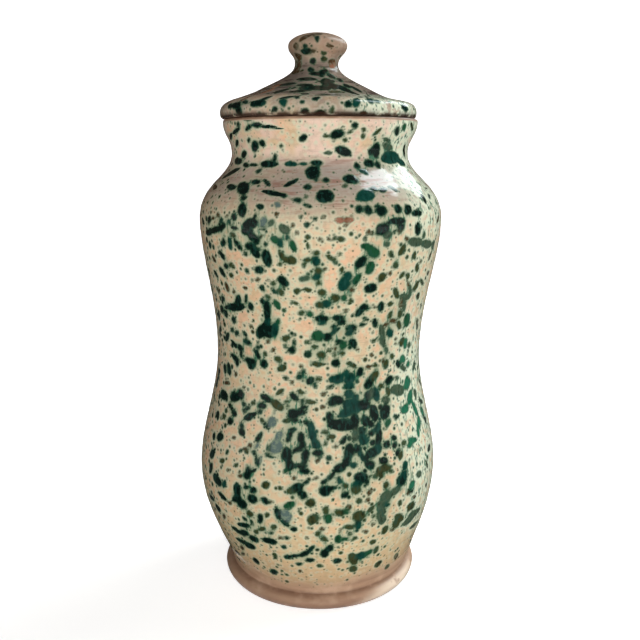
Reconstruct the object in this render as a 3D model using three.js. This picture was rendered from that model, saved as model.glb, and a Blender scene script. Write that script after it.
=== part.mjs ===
// Lidded storage jar in glazed pottery: a thrown jar on a rolled foot, and a lid that lifts off.
// Millimetres, +Z up. The origin is the centre of the flat ring that the jar stands on.

import * as THREE from 'three';

// Foot
const STANDING_RADIUS = 60;
const STANDING_RING_WIDTH = 10;
const BASE_RECESS = 3.5;
const BASE_RECESS_ROUND = 2;
const ROLL_RADIUS = 64.6;
const ROLL_LEVEL = 6;
const ROLL_ROUND = 2.6;
const CREASE_RADIUS = 59.8;
const CREASE_LEVEL = 10;
const RIDGE_RADIUS = 60.3;
const RIDGE_RISE = 2.4;

// Jar wall: the radius at each level, its rise above the level below, and how far its round reaches
const BASE_SPREAD = 7.2;
const BASE_SPREAD_RISE = 21;
const BELLY_RADIUS = 78.2;
const BELLY_RISE = 65.6;
const BELLY_ROUND_DOWN = 25.5;
const BELLY_ROUND_UP = 24.5;
const WAIST_RADIUS = 66;
const WAIST_RISE = 77;
const WAIST_ROUND_DOWN = 27.5;
const WAIST_ROUND_UP = 34;
const SHOULDER_RADIUS = 76.2;
const SHOULDER_RISE = 83.5;
const SHOULDER_ROUND_DOWN = 23;
const SHOULDER_ROUND_UP = 22;
const NECK_RADIUS = 54.9;
const NECK_RISE = 40.3;
const NECK_ROUND_DOWN = 14.3;
const NECK_ROUND_UP = 7.8;
const RIM_RADIUS = 60.2;
const RIM_RISE = 20;
const RIM_ROUND_DOWN = 7.8;
const RIM_EDGE_ROUND = 1.8;
const WALL = 6.5;
const FLOOR_THICKNESS = 8;
const FLOOR_ROUND = 14;

// Lid
const SEAT_GAP = 0.3;
const COVER_OVERHANG = 0.4;
const COVER_EDGE_ROUND = 2.2;
const COVER_EDGE_LEVEL = 3.4;
const COVER_SHOULDER_INSET = 2.5;
const COVER_SHOULDER_LEVEL = 7.3;
const COVER_SHOULDER_ROUND = 1.4;
const COVER_SLOPE = 0.41;
const COVER_SLOPE_REACH = 28;
const COVER_WALL = 6.5;
const CEILING_ROUND = 16;
const FLANGE_CLEARANCE = 1.5;
const FLANGE_DEPTH = 18;
const FLANGE_WALL = 6;
const FLANGE_TIP_ROUND = 2;
const KNOB_NECK_RADIUS = 13.3;
const KNOB_NECK_LEVEL = 32.6;
const KNOB_NECK_ROUND_DOWN = 6.2;
const KNOB_NECK_ROUND_UP = 5.4;
const KNOB_ROOT = 13;
const KNOB_RADIUS = 18.1;
const KNOB_RISE = 10.6;
const KNOB_ROUND_DOWN = 5;
const KNOB_CROWN = 7.7;
const KNOB_CROWN_ROUND_UP = 3.9;
const KNOB_CROWN_ROUND_IN = 7.5;

// Fineness of the solids
const SEGMENTS_AROUND = 48;
const STEPS_LONG_CURVE = 8;
const STEPS_SHORT_CURVE = 5;
const STEPS_INSIDE = 5;
const STEPS_EDGE = 3;

// Levels above the standing ring, and what follows from the sizes
const RIDGE_LEVEL = CREASE_LEVEL + RIDGE_RISE;
const BELLY_LEVEL = RIDGE_LEVEL + BELLY_RISE;
const WAIST_LEVEL = BELLY_LEVEL + WAIST_RISE;
const SHOULDER_LEVEL = WAIST_LEVEL + SHOULDER_RISE;
const NECK_LEVEL = SHOULDER_LEVEL + NECK_RISE;
const RIM_LEVEL = NECK_LEVEL + RIM_RISE;
const FLOOR_LEVEL = BASE_RECESS + FLOOR_THICKNESS;
const SEAT_LEVEL = RIM_LEVEL + SEAT_GAP;
const COVER_RADIUS = RIM_RADIUS + COVER_OVERHANG;
const FLANGE_RADIUS = NECK_RADIUS - WALL - FLANGE_CLEARANCE;
const FLANGE_BORE = FLANGE_RADIUS - FLANGE_WALL;

const glaze = new THREE.MeshStandardMaterial({
  name: 'spattered_glaze',
  color: 0x9fa783,
  roughness: 0.22,
  metalness: 0,
});

// A point of a profile: radius from the jar's axis, and height.
function at(radius, height) {
  return new THREE.Vector2(radius, height);
}

// A curve that leaves one point towards its pull and arrives at another from that one's pull.
function swell(from, fromPull, toPull, to) {
  return new THREE.CubicBezierCurve(from, fromPull, toPull, to);
}

// A curve between two levels where the wall stands upright.
function upright(from, reachUp, reachDown, to) {
  return swell(from, at(from.x, from.y + reachUp), at(to.x, to.y - reachDown), to);
}

// A quarter round between two points, whose sides meet at a corner.
function round(from, corner, to) {
  return new THREE.QuadraticBezierCurve(from, corner, to);
}

// The points along a curve, without its last one.
function trace(curve, steps) {
  return curve.getPoints(steps).slice(0, -1);
}

// The points that lie one wall thickness inside a curve that runs upwards.
function inside(curve, steps, thickness) {
  const points = [];
  for (let step = 0; step < steps; step += 1) {
    const point = curve.getPoint(step / steps);
    const run = curve.getTangent(step / steps);
    points.push(at(point.x - thickness * run.y, point.y + thickness * run.x));
  }
  return points;
}

// The height at which a curve that runs inwards passes a radius.
function heightAt(curve, radius) {
  let low = 0;
  let high = 1;
  const halvings = 30;
  for (let count = 0; count < halvings; count += 1) {
    const middle = (low + high) / 2;
    if (curve.getPoint(middle).x > radius) {
      low = middle;
    } else {
      high = middle;
    }
  }
  return curve.getPoint(low).y;
}

// A solid turned about the Z axis from a profile that starts and ends on that axis.
function turned(name, profile) {
  const geometry = new THREE.LatheGeometry(profile, SEGMENTS_AROUND);
  geometry.rotateX(Math.PI / 2);
  const mesh = new THREE.Mesh(geometry, glaze.clone());
  mesh.name = name;
  return mesh;
}

// The underside and the rolled foot, from the axis out and up to the crease.
function footProfile() {
  const ringInner = STANDING_RADIUS - STANDING_RING_WIDTH;
  const recessTop = at(ringInner - BASE_RECESS_ROUND, BASE_RECESS);
  const ringStart = at(ringInner, 0);
  const ringEnd = at(STANDING_RADIUS, 0);
  const roll = at(ROLL_RADIUS, ROLL_LEVEL);
  const crease = at(CREASE_RADIUS, CREASE_LEVEL);
  return [
    at(0, BASE_RECESS),
    ...trace(round(recessTop, at(ringInner, BASE_RECESS), ringStart), STEPS_EDGE),
    ringStart,
    ...trace(swell(ringEnd, at(STANDING_RADIUS + ROLL_ROUND, 0),
      at(ROLL_RADIUS, ROLL_LEVEL - ROLL_ROUND), roll), STEPS_SHORT_CURVE),
    ...trace(swell(roll, at(ROLL_RADIUS, ROLL_LEVEL + ROLL_ROUND),
      at(CREASE_RADIUS, CREASE_LEVEL), crease), STEPS_SHORT_CURVE),
    crease,
  ];
}

// The outside of the jar's wall, as curves from the ridge above the foot up to the rim's edge.
function wallCurves() {
  const ridge = at(RIDGE_RADIUS, RIDGE_LEVEL);
  const belly = at(BELLY_RADIUS, BELLY_LEVEL);
  const waist = at(WAIST_RADIUS, WAIST_LEVEL);
  const shoulder = at(SHOULDER_RADIUS, SHOULDER_LEVEL);
  const neck = at(NECK_RADIUS, NECK_LEVEL);
  const rim = at(RIM_RADIUS, RIM_LEVEL - RIM_EDGE_ROUND);
  return [
    swell(ridge, at(RIDGE_RADIUS + BASE_SPREAD, RIDGE_LEVEL + BASE_SPREAD_RISE),
      at(BELLY_RADIUS, BELLY_LEVEL - BELLY_ROUND_DOWN), belly),
    upright(belly, BELLY_ROUND_UP, WAIST_ROUND_DOWN, waist),
    upright(waist, WAIST_ROUND_UP, SHOULDER_ROUND_DOWN, shoulder),
    upright(shoulder, SHOULDER_ROUND_UP, NECK_ROUND_DOWN, neck),
    upright(neck, NECK_ROUND_UP, RIM_ROUND_DOWN, rim),
  ];
}

// The rim, from its outer edge over the flat top to the throat.
function rimProfile() {
  const throat = RIM_RADIUS - WALL;
  const low = RIM_LEVEL - RIM_EDGE_ROUND;
  const flatEnd = at(throat + RIM_EDGE_ROUND, RIM_LEVEL);
  return [
    ...trace(round(at(RIM_RADIUS, low), at(RIM_RADIUS, RIM_LEVEL),
      at(RIM_RADIUS - RIM_EDGE_ROUND, RIM_LEVEL)), STEPS_EDGE),
    at(RIM_RADIUS - RIM_EDGE_ROUND, RIM_LEVEL),
    ...trace(round(flatEnd, at(throat, RIM_LEVEL), at(throat, low)), STEPS_EDGE),
    at(throat, low),
  ];
}

// The inside of the jar, from below the rim down to the middle of the floor.
function insideProfile(curves) {
  const climb = curves.flatMap((curve) => inside(curve, STEPS_INSIDE, WALL));
  const wall = climb.filter((point) => point.y > FLOOR_LEVEL + FLOOR_ROUND).reverse();
  const wallEnd = wall.at(-1);
  const corner = at(wallEnd.x - BASE_SPREAD, FLOOR_LEVEL);
  const floorEdge = at(corner.x - FLOOR_ROUND, FLOOR_LEVEL);
  return [
    ...wall,
    ...trace(round(wallEnd, corner, floorEdge), STEPS_SHORT_CURVE).slice(1),
    floorEdge,
    at(0, FLOOR_LEVEL),
  ];
}

function makeJar() {
  const curves = wallCurves();
  return turned('jar', [
    ...footProfile(),
    ...curves.flatMap((curve) => trace(curve, STEPS_LONG_CURVE)),
    ...rimProfile(),
    ...insideProfile(curves),
  ]);
}

// The locating flange and the hollow under the cover, from the axis out to the flange's root.
function lidUnderside(slope) {
  const tip = SEAT_LEVEL - FLANGE_DEPTH;
  const ceilingMiddle = at(0, SEAT_LEVEL + KNOB_NECK_LEVEL - KNOB_ROOT);
  const ceilingEdge = at(FLANGE_BORE, heightAt(slope, FLANGE_BORE) - COVER_WALL);
  const innerTip = at(FLANGE_BORE + FLANGE_TIP_ROUND, tip);
  const outerTip = at(FLANGE_RADIUS - FLANGE_TIP_ROUND, tip);
  const outerTipTop = at(FLANGE_RADIUS, tip + FLANGE_TIP_ROUND);
  return [
    ...trace(swell(ceilingMiddle, at(CEILING_ROUND, ceilingMiddle.y),
      at(FLANGE_BORE - CEILING_ROUND / 2, ceilingEdge.y), ceilingEdge), STEPS_LONG_CURVE),
    ceilingEdge,
    ...trace(round(at(FLANGE_BORE, tip + FLANGE_TIP_ROUND), at(FLANGE_BORE, tip), innerTip), STEPS_EDGE),
    innerTip,
    ...trace(round(outerTip, at(FLANGE_RADIUS, tip), outerTipTop), STEPS_EDGE),
    outerTipTop,
    at(FLANGE_RADIUS, SEAT_LEVEL),
  ];
}

// The cover's sloping top, as a curve from its shoulder in to the knob's neck.
function coverSlope() {
  const shoulder = at(COVER_RADIUS - COVER_SHOULDER_INSET, SEAT_LEVEL + COVER_SHOULDER_LEVEL);
  const neck = at(KNOB_NECK_RADIUS, SEAT_LEVEL + KNOB_NECK_LEVEL);
  const reach = at(shoulder.x - COVER_SLOPE_REACH, shoulder.y + COVER_SLOPE * COVER_SLOPE_REACH);
  return swell(shoulder, reach, at(neck.x, neck.y - KNOB_NECK_ROUND_DOWN), neck);
}

// The cover's rounded edge, from the seat up to the shoulder.
function coverEdge(shoulder) {
  const edge = at(COVER_RADIUS, SEAT_LEVEL + COVER_EDGE_LEVEL);
  const start = at(COVER_RADIUS - COVER_EDGE_ROUND, SEAT_LEVEL);
  const spread = at(shoulder.x + COVER_SHOULDER_ROUND, shoulder.y - COVER_SLOPE * COVER_SHOULDER_ROUND);
  return [
    ...trace(round(start, at(COVER_RADIUS, SEAT_LEVEL), edge), STEPS_EDGE),
    ...trace(swell(edge, at(COVER_RADIUS, edge.y + COVER_SHOULDER_ROUND), spread, shoulder), STEPS_EDGE),
  ];
}

// The knob, from its neck over the widest level to the crown on the axis.
function knobProfile(neck) {
  const widest = at(KNOB_RADIUS, neck.y + KNOB_RISE);
  const crown = at(0, widest.y + KNOB_CROWN);
  return [
    ...trace(upright(neck, KNOB_NECK_ROUND_UP, KNOB_ROUND_DOWN, widest), STEPS_SHORT_CURVE),
    ...trace(swell(widest, at(KNOB_RADIUS, widest.y + KNOB_CROWN_ROUND_UP),
      at(KNOB_RADIUS - KNOB_CROWN_ROUND_IN, crown.y), crown), STEPS_LONG_CURVE),
    crown,
  ];
}

function makeLid() {
  const slope = coverSlope();
  const shoulder = slope.getPoint(0);
  const neck = slope.getPoint(1);
  return turned('lid', [
    ...lidUnderside(slope),
    ...coverEdge(shoulder),
    ...trace(slope, STEPS_LONG_CURVE),
    ...knobProfile(neck),
  ]);
}

const storageJar = new THREE.Group();
storageJar.name = 'lidded_storage_jar';
storageJar.add(makeJar(), makeLid());

export default storageJar;
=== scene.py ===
"""A lidded storage jar: dark green spatter over a cream glaze on thrown clay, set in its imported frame.

Sections and spatter are worked out in millimetres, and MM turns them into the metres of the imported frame.
"""

import logging
import math
import random
from collections.abc import Iterable, Sequence
from dataclasses import dataclass, field
from enum import Enum
from typing import Any

import bmesh
import bpy
import numpy as np
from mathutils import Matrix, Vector
from mathutils.bvhtree import BVHTree
from mathutils.geometry import interpolate_bezier


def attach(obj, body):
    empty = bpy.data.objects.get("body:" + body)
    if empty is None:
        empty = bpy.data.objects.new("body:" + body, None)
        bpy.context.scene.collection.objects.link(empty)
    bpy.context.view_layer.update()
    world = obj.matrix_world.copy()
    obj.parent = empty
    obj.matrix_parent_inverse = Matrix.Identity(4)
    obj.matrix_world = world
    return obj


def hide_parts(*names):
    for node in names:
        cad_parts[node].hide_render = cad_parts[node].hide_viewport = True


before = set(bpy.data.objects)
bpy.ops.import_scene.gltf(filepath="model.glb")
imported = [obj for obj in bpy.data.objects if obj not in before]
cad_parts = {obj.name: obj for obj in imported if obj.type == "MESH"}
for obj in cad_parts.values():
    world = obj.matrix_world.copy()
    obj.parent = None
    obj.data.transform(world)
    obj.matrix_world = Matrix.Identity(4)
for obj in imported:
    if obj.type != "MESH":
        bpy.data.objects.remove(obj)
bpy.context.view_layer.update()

log = logging.getLogger("storage_jar")

MM = 0.001
FULL_TURN = 2 * math.pi
MIDDLE = (0.0, 0.0, 0.0)
UPRIGHT = (0.0, 0.0, 1.0)
MERGE_DISTANCE = 0.002
ROUND_STEPS = 3

# sockets of the mix node that carry colours
FIRST_COLOUR = 6
SECOND_COLOUR = 7
MIXED_COLOUR = 2

Colour = tuple[float, float, float]
Triple = tuple[float, float, float]
Pair = tuple[float, float]

# names of what is stored on the vertices of a piece
REACH = "glaze_reach"
LINING = "lining"
EDGE = "dab_edge"
TINT = "dab_tint"
SPECKS = "speck_share"
# green bleed, and on the lit right side a painted sheen of the window
BLEED_AND_SHEEN = "green_bleed_and_sheen"
SLOPE = "upward_slope"
# worn edges, and painted shade in the foot's crease, under its roll, under the lid's edge and under the knob
EDGE_WEAR_AND_SHADE = "edge_wear_and_shade"
CROWD = "dab_crowd"
RUN = "dab_run"
# painted patch of window light on the front right of the foot
FOOT_LIGHT_PATCH = "foot_light_patch"
# painted shade on the lower, downward-facing half of the foot's roll
FOOT_SHADE = "foot_low_shade"


class Face(Enum):
    """The surfaces of a fired piece, by how they are finished."""

    BARE = 0
    SPATTERED = 1
    LINED = 2


class Tint(Enum):
    """The colours that the green takes, from where it lies thick to where it only stains the cream."""

    DEEP = (0.002, 0.012, 0.009)
    TEAL = (0.003, 0.052, 0.040)
    GREEN = (0.012, 0.085, 0.036)
    OLIVE = (0.050, 0.058, 0.020)
    BROWN = (0.075, 0.040, 0.016)
    SLATE = (0.060, 0.100, 0.062)
    JADE = (0.022, 0.175, 0.095)
    # milky blue glaze, and in places a painted reflection
    BLUE_AND_SHEEN = (0.115, 0.175, 0.165)
    RUST = (0.340, 0.150, 0.095)


@dataclass(frozen=True)
class Dab:
    """One splash of green, as the photograph shows it.

    Attributes:
        x: Column of its middle in the photograph, in pixels.
        y: Row of its middle in the photograph, in pixels.
        long: Length in pixels.
        wide: Width in pixels, or None where it is round.
        tilt: Rise of its length towards the right, in degrees.
    """

    x: float
    y: float
    long: float
    wide: float | None = None
    tilt: float = 0.0


@dataclass(frozen=True)
class Splash:
    """One splash of green on the clay.

    Attributes:
        middle: Its middle on the surface, in metres.
        along: Half its length as a vector, in metres.
        across: Half its width as a vector, in metres.
        tint: Its colour.
    """

    middle: Vector
    along: Vector
    across: Vector
    tint: Tint


DABS: dict[Tint, tuple[Dab, ...]] = {
    Tint.DEEP: (
        # knob and cover
        Dab(x=305, y=46, long=5), Dab(x=306, y=51, long=10, wide=6), Dab(x=317, y=38, long=5),
        Dab(x=313, y=61, long=4), Dab(x=311, y=70, long=5, wide=3, tilt=-20),
        Dab(x=307, y=79, long=20, wide=3), Dab(x=288, y=84, long=16, wide=2.5, tilt=8),
        Dab(x=317, y=74, long=14, wide=3, tilt=-5), Dab(x=320, y=88, long=22, wide=5),
        Dab(x=300, y=91, long=20, wide=3, tilt=5), Dab(x=342, y=88, long=18, wide=4, tilt=-22),
        Dab(x=350, y=92, long=20, wide=3, tilt=-20), Dab(x=281, y=91, long=16, wide=2.5, tilt=15),
        Dab(x=340, y=80, long=5, wide=3, tilt=-30), Dab(x=326, y=95, long=22, wide=3),
        Dab(x=288, y=97, long=18, wide=2.5, tilt=8), Dab(x=266, y=98, long=14, wide=3, tilt=20),
        Dab(x=305, y=85, long=16, wide=2.5), Dab(x=347, y=86, long=7, wide=3, tilt=-25),
        Dab(x=356, y=89, long=12, wide=2.5, tilt=-28), Dab(x=323, y=72, long=8, wide=4, tilt=20),
        Dab(x=331, y=76, long=8, wide=3, tilt=-30), Dab(x=326, y=82, long=10, wide=8),
        Dab(x=333, y=86, long=9, wide=6, tilt=-20),
        Dab(x=303, y=88, long=7, wide=4), Dab(x=305, y=94, long=7, wide=4), Dab(x=297, y=97, long=4),
        Dab(x=316, y=98, long=8, wide=3, tilt=15), Dab(x=258, y=103, long=16, wide=7, tilt=10),
        Dab(x=275, y=109, long=6, wide=5), Dab(x=302, y=102, long=5, wide=3),
        Dab(x=236, y=105, long=10, wide=6, tilt=20), Dab(x=239, y=111, long=8, wide=6, tilt=-60),
        Dab(x=230, y=106, long=6, wide=4, tilt=60), Dab(x=245, y=102, long=6, wide=3),
        Dab(x=305, y=111, long=8, wide=5), Dab(x=348, y=104, long=8, wide=7),
        Dab(x=320, y=112, long=10, wide=4), Dab(x=405, y=108, long=8, wide=5, tilt=-55),
        # rim and neck
        Dab(x=256, y=125, long=10, wide=5), Dab(x=270, y=127, long=28, wide=2.5, tilt=-8),
        Dab(x=248, y=128, long=7, wide=4, tilt=45), Dab(x=246, y=119, long=8, wide=3),
        Dab(x=238, y=124, long=5, wide=3, tilt=90), Dab(x=236, y=131, long=9, wide=4, tilt=45),
        Dab(x=231, y=136, long=6, wide=3, tilt=80), Dab(x=237, y=143, long=6, wide=3, tilt=80),
        Dab(x=249, y=140, long=5, wide=3, tilt=80), Dab(x=255, y=146, long=12, wide=7, tilt=85),
        Dab(x=262, y=143, long=6), Dab(x=281, y=146, long=4), Dab(x=303, y=138, long=9, wide=6, tilt=35),
        Dab(x=337, y=134, long=14, wide=9, tilt=15), Dab(x=355, y=125, long=7, wide=6),
        Dab(x=343, y=151, long=17, wide=9, tilt=-20), Dab(x=371, y=152, long=8, wide=5, tilt=90),
        Dab(x=376, y=150, long=16, wide=8, tilt=85), Dab(x=397, y=131, long=9, wide=5, tilt=80),
        Dab(x=404, y=150, long=13, wide=3, tilt=85), Dab(x=369, y=163, long=10, wide=8),
        Dab(x=357, y=166, long=7, wide=5, tilt=-50), Dab(x=378, y=165, long=9, wide=5, tilt=-60),
        # shoulder, left
        Dab(x=244, y=154, long=8, wide=5, tilt=80), Dab(x=238, y=161, long=8, wide=7),
        Dab(x=246, y=165, long=6, wide=5), Dab(x=254, y=165, long=8, wide=3),
        Dab(x=268, y=164, long=16, wide=7), Dab(x=275, y=158, long=10, wide=4, tilt=80),
        Dab(x=259, y=171, long=7, wide=3, tilt=40), Dab(x=231, y=173, long=21, wide=4, tilt=30),
        Dab(x=231, y=187, long=9, wide=6), Dab(x=243, y=188, long=14, wide=11, tilt=60),
        Dab(x=256, y=182, long=9, wide=5), Dab(x=267, y=183, long=10, wide=4, tilt=-50),
        Dab(x=291, y=183, long=17, wide=4, tilt=25), Dab(x=273, y=193, long=26, wide=4, tilt=-12),
        Dab(x=284, y=196, long=6, wide=5), Dab(x=243, y=198, long=6), Dab(x=260, y=207, long=7, wide=6),
        Dab(x=242, y=210, long=14, wide=9, tilt=85), Dab(x=308, y=187, long=9, wide=5),
        Dab(x=298, y=200, long=9, wide=6), Dab(x=308, y=206, long=10, wide=4, tilt=-20),
        # shoulder, middle and right
        Dab(x=317, y=163, long=12, wide=6), Dab(x=313, y=173, long=15, wide=14),
        Dab(x=326, y=180, long=7, wide=5), Dab(x=325, y=196, long=19, wide=13),
        Dab(x=350, y=179, long=14, wide=9, tilt=-10), Dab(x=356, y=181, long=6, wide=5),
        Dab(x=359, y=209, long=8), Dab(x=368, y=210, long=10, wide=8, tilt=-60),
        Dab(x=382, y=211, long=12, wide=11), Dab(x=377, y=206, long=6, wide=5),
        Dab(x=398, y=209, long=10, wide=7, tilt=-70), Dab(x=408, y=210, long=11, wide=7, tilt=85),
        Dab(x=374, y=189, long=8, wide=3, tilt=-15), Dab(x=383, y=190, long=7, wide=5),
        Dab(x=394, y=189, long=10, wide=3, tilt=-35), Dab(x=383, y=229, long=14, wide=12, tilt=30),
        Dab(x=398, y=221, long=15, wide=8), Dab(x=401, y=227, long=8), Dab(x=391, y=222, long=7, wide=5),
        # upper body, left
        Dab(x=234, y=217, long=9, wide=5, tilt=-80), Dab(x=209, y=220, long=8, wide=4, tilt=85),
        Dab(x=203, y=221, long=6, wide=3, tilt=-80), Dab(x=221, y=221, long=6, wide=4, tilt=80),
        Dab(x=209, y=232, long=8, wide=6, tilt=60), Dab(x=215, y=230, long=9, wide=7, tilt=30),
        Dab(x=222, y=227, long=9, wide=6, tilt=50), Dab(x=234, y=228, long=9, wide=3, tilt=-20),
        Dab(x=250, y=224, long=17, wide=11, tilt=20), Dab(x=255, y=216, long=7, wide=3, tilt=70),
        Dab(x=247, y=231, long=11, wide=9), Dab(x=252, y=237, long=10, wide=8, tilt=-40),
        Dab(x=257, y=240, long=9, wide=7, tilt=80), Dab(x=263, y=229, long=8, wide=3),
        Dab(x=250, y=246, long=10, wide=8), Dab(x=255, y=252, long=15, wide=8, tilt=-50),
        Dab(x=223, y=243, long=8, wide=5, tilt=80), Dab(x=210, y=245, long=7, wide=3, tilt=-80),
        Dab(x=238, y=245, long=13, wide=4, tilt=-58), Dab(x=222, y=255, long=11, wide=4, tilt=-60),
        Dab(x=267, y=258, long=19, wide=9, tilt=-72), Dab(x=259, y=270, long=9, wide=8),
        Dab(x=226, y=266, long=6, wide=3.5, tilt=-60), Dab(x=222, y=272, long=12, wide=3.5, tilt=-60),
        Dab(x=216, y=274, long=9, wide=3, tilt=-62), Dab(x=245, y=254, long=6, wide=4, tilt=-55),
        Dab(x=266, y=244, long=4), Dab(x=247, y=271, long=6, wide=4, tilt=-50),
        Dab(x=283, y=281, long=13, wide=8, tilt=-48), Dab(x=262, y=288, long=6, wide=5, tilt=-60),
        Dab(x=274, y=291, long=7, wide=4, tilt=-50), Dab(x=223, y=299, long=6, wide=3, tilt=-80),
        # upper body, middle and right
        Dab(x=315, y=219, long=5), Dab(x=307, y=225, long=5.5), Dab(x=301, y=217, long=4),
        Dab(x=365, y=239, long=4), Dab(x=371, y=288, long=13, wide=9, tilt=12), Dab(x=365, y=307, long=7),
        Dab(x=360, y=311, long=14, wide=6, tilt=55), Dab(x=361, y=262, long=15, wide=9, tilt=45),
        Dab(x=381, y=307, long=11, wide=6, tilt=80),
        # waist, left
        Dab(x=238, y=300, long=11, wide=6, tilt=85), Dab(x=236, y=307, long=17, wide=8),
        Dab(x=228, y=307, long=8, wide=5, tilt=20), Dab(x=246, y=299, long=9, wide=3, tilt=85),
        Dab(x=251, y=307, long=9, wide=5, tilt=-70), Dab(x=222, y=309, long=8, wide=4, tilt=-80),
        Dab(x=226, y=314, long=8, wide=4, tilt=-80), Dab(x=263, y=302, long=7, wide=4, tilt=-60),
        Dab(x=267, y=311, long=21, wide=7, tilt=-86), Dab(x=262, y=331, long=16, wide=11, tilt=60),
        Dab(x=269, y=331, long=15, wide=14), Dab(x=234, y=320, long=8, wide=4, tilt=-75),
        Dab(x=219, y=316, long=8, wide=3, tilt=-85), Dab(x=220, y=331, long=8, wide=2.5, tilt=88),
        Dab(x=227, y=337, long=9, wide=4, tilt=80), Dab(x=232, y=330, long=5, wide=3.5, tilt=-60),
        Dab(x=237, y=333, long=5, wide=4, tilt=-70), Dab(x=245, y=334, long=8, wide=3, tilt=-60),
        Dab(x=247, y=342, long=9, wide=5, tilt=-30), Dab(x=234, y=344, long=11, wide=3, tilt=-55),
        Dab(x=240, y=348, long=8, wide=5, tilt=-70), Dab(x=241, y=354, long=8, wide=3, tilt=-80),
        Dab(x=258, y=347, long=5, wide=4, tilt=-60), Dab(x=257, y=354, long=12, wide=4, tilt=-60),
        Dab(x=248, y=361, long=9, wide=5, tilt=-60), Dab(x=252, y=364, long=12, wide=8, tilt=85),
        Dab(x=264, y=364, long=10, wide=7, tilt=-85), Dab(x=234, y=357, long=10, wide=3.5, tilt=-50),
        Dab(x=237, y=362, long=10, wide=4, tilt=-85), Dab(x=225, y=369, long=10, wide=3, tilt=-85),
        Dab(x=229, y=369, long=14, wide=3.5, tilt=-80), Dab(x=219, y=372, long=7, wide=2.5, tilt=88),
        Dab(x=217, y=382, long=10, wide=2.5, tilt=84), Dab(x=294, y=334, long=6, wide=4, tilt=-40),
        Dab(x=294, y=343, long=6, wide=4, tilt=90), Dab(x=292, y=350, long=9, wide=7),
        Dab(x=308, y=354, long=8, wide=7), Dab(x=303, y=372, long=7, wide=5, tilt=60),
        Dab(x=300, y=377, long=8, wide=6, tilt=20), Dab(x=310, y=381, long=9, wide=7, tilt=30),
        Dab(x=315, y=386, long=7, wide=4, tilt=-60), Dab(x=286, y=378, long=6, wide=4, tilt=-35),
        # waist, middle and right
        Dab(x=322, y=319, long=15, wide=7), Dab(x=338, y=318, long=12, wide=6),
        Dab(x=342, y=322, long=8, wide=7), Dab(x=334, y=327, long=6, wide=5),
        Dab(x=351, y=328, long=12, wide=7), Dab(x=349, y=333, long=8, wide=6),
        Dab(x=328, y=337, long=9, wide=8), Dab(x=335, y=331, long=13, wide=4, tilt=35),
        Dab(x=340, y=342, long=8, wide=5), Dab(x=353, y=343, long=10, wide=8, tilt=-70),
        Dab(x=336, y=363, long=9, wide=8), Dab(x=362, y=325, long=5, wide=4),
        Dab(x=366, y=319, long=8, wide=4, tilt=-25), Dab(x=375, y=323, long=10, wide=5, tilt=-80),
        Dab(x=360, y=372, long=10, wide=6, tilt=70), Dab(x=369, y=383, long=14, wide=7, tilt=60),
        Dab(x=389, y=380, long=10, wide=6, tilt=50), Dab(x=330, y=387, long=5, wide=4),
        Dab(x=398, y=364, long=8, wide=4, tilt=-80),
        # belly, left
        Dab(x=224, y=395, long=11, wide=7, tilt=-75), Dab(x=235, y=397, long=10),
        Dab(x=241, y=394, long=11, wide=6, tilt=-75), Dab(x=244, y=404, long=5, wide=4, tilt=-60),
        Dab(x=248, y=408, long=5, wide=4), Dab(x=244, y=411, long=5, wide=3.5, tilt=-60),
        Dab(x=266, y=398, long=14, wide=6, tilt=-35), Dab(x=262, y=406, long=9, wide=7),
        Dab(x=260, y=412, long=4), Dab(x=231, y=407, long=11, wide=3, tilt=-60),
        Dab(x=234, y=413, long=8, wide=5, tilt=-70), Dab(x=218, y=415, long=9, wide=3, tilt=85),
        Dab(x=230, y=421, long=8, wide=5, tilt=85), Dab(x=250, y=416, long=15, wide=6, tilt=25),
        Dab(x=242, y=426, long=7, wide=4, tilt=-70), Dab(x=242, y=432, long=9, wide=6, tilt=-75),
        Dab(x=294, y=397, long=11, wide=6, tilt=-40), Dab(x=302, y=401, long=5, wide=4),
        Dab(x=266, y=426, long=11, wide=3, tilt=-60), Dab(x=294, y=414, long=14, wide=10, tilt=20),
        Dab(x=301, y=412, long=8), Dab(x=304, y=407, long=9, wide=4, tilt=-25),
        Dab(x=294, y=420, long=8, wide=5), Dab(x=220, y=437, long=9, wide=6, tilt=80),
        Dab(x=214, y=436, long=8, wide=3, tilt=85), Dab(x=212, y=454, long=9, wide=5, tilt=80),
        Dab(x=211, y=468, long=12, wide=3.5, tilt=85), Dab(x=217, y=480, long=15, wide=6, tilt=-62),
        Dab(x=259, y=437, long=12, wide=5, tilt=58), Dab(x=257, y=461, long=10, wide=5, tilt=-80),
        Dab(x=254, y=453, long=6, wide=4, tilt=-50), Dab(x=247, y=475, long=10, wide=8, tilt=70),
        Dab(x=253, y=471, long=9, wide=3, tilt=30), Dab(x=248, y=469, long=6, wide=4, tilt=70),
        Dab(x=240, y=451, long=4), Dab(x=227, y=452, long=6, wide=3, tilt=80),
        # belly, middle
        Dab(x=292, y=430, long=8, wide=5), Dab(x=289, y=437, long=12, wide=6, tilt=70),
        Dab(x=301, y=438, long=12, wide=8, tilt=80), Dab(x=302, y=445, long=8),
        Dab(x=287, y=455, long=16, wide=10, tilt=-80), Dab(x=297, y=450, long=10, wide=6, tilt=20),
        Dab(x=290, y=465, long=11, wide=9, tilt=-60), Dab(x=305, y=455, long=12, wide=8, tilt=80),
        Dab(x=304, y=464, long=12, wide=6, tilt=85), Dab(x=305, y=471, long=11, wide=6),
        Dab(x=298, y=466, long=8, wide=4), Dab(x=318, y=453, long=12, wide=7),
        Dab(x=306, y=423, long=7, wide=4, tilt=-60), Dab(x=270, y=456, long=11, wide=3.5, tilt=-15),
        Dab(x=268, y=448, long=8, wide=3, tilt=85), Dab(x=330, y=419, long=14, wide=8, tilt=-75),
        Dab(x=343, y=425, long=30, wide=11), Dab(x=354, y=421, long=15, wide=9, tilt=80),
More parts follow.
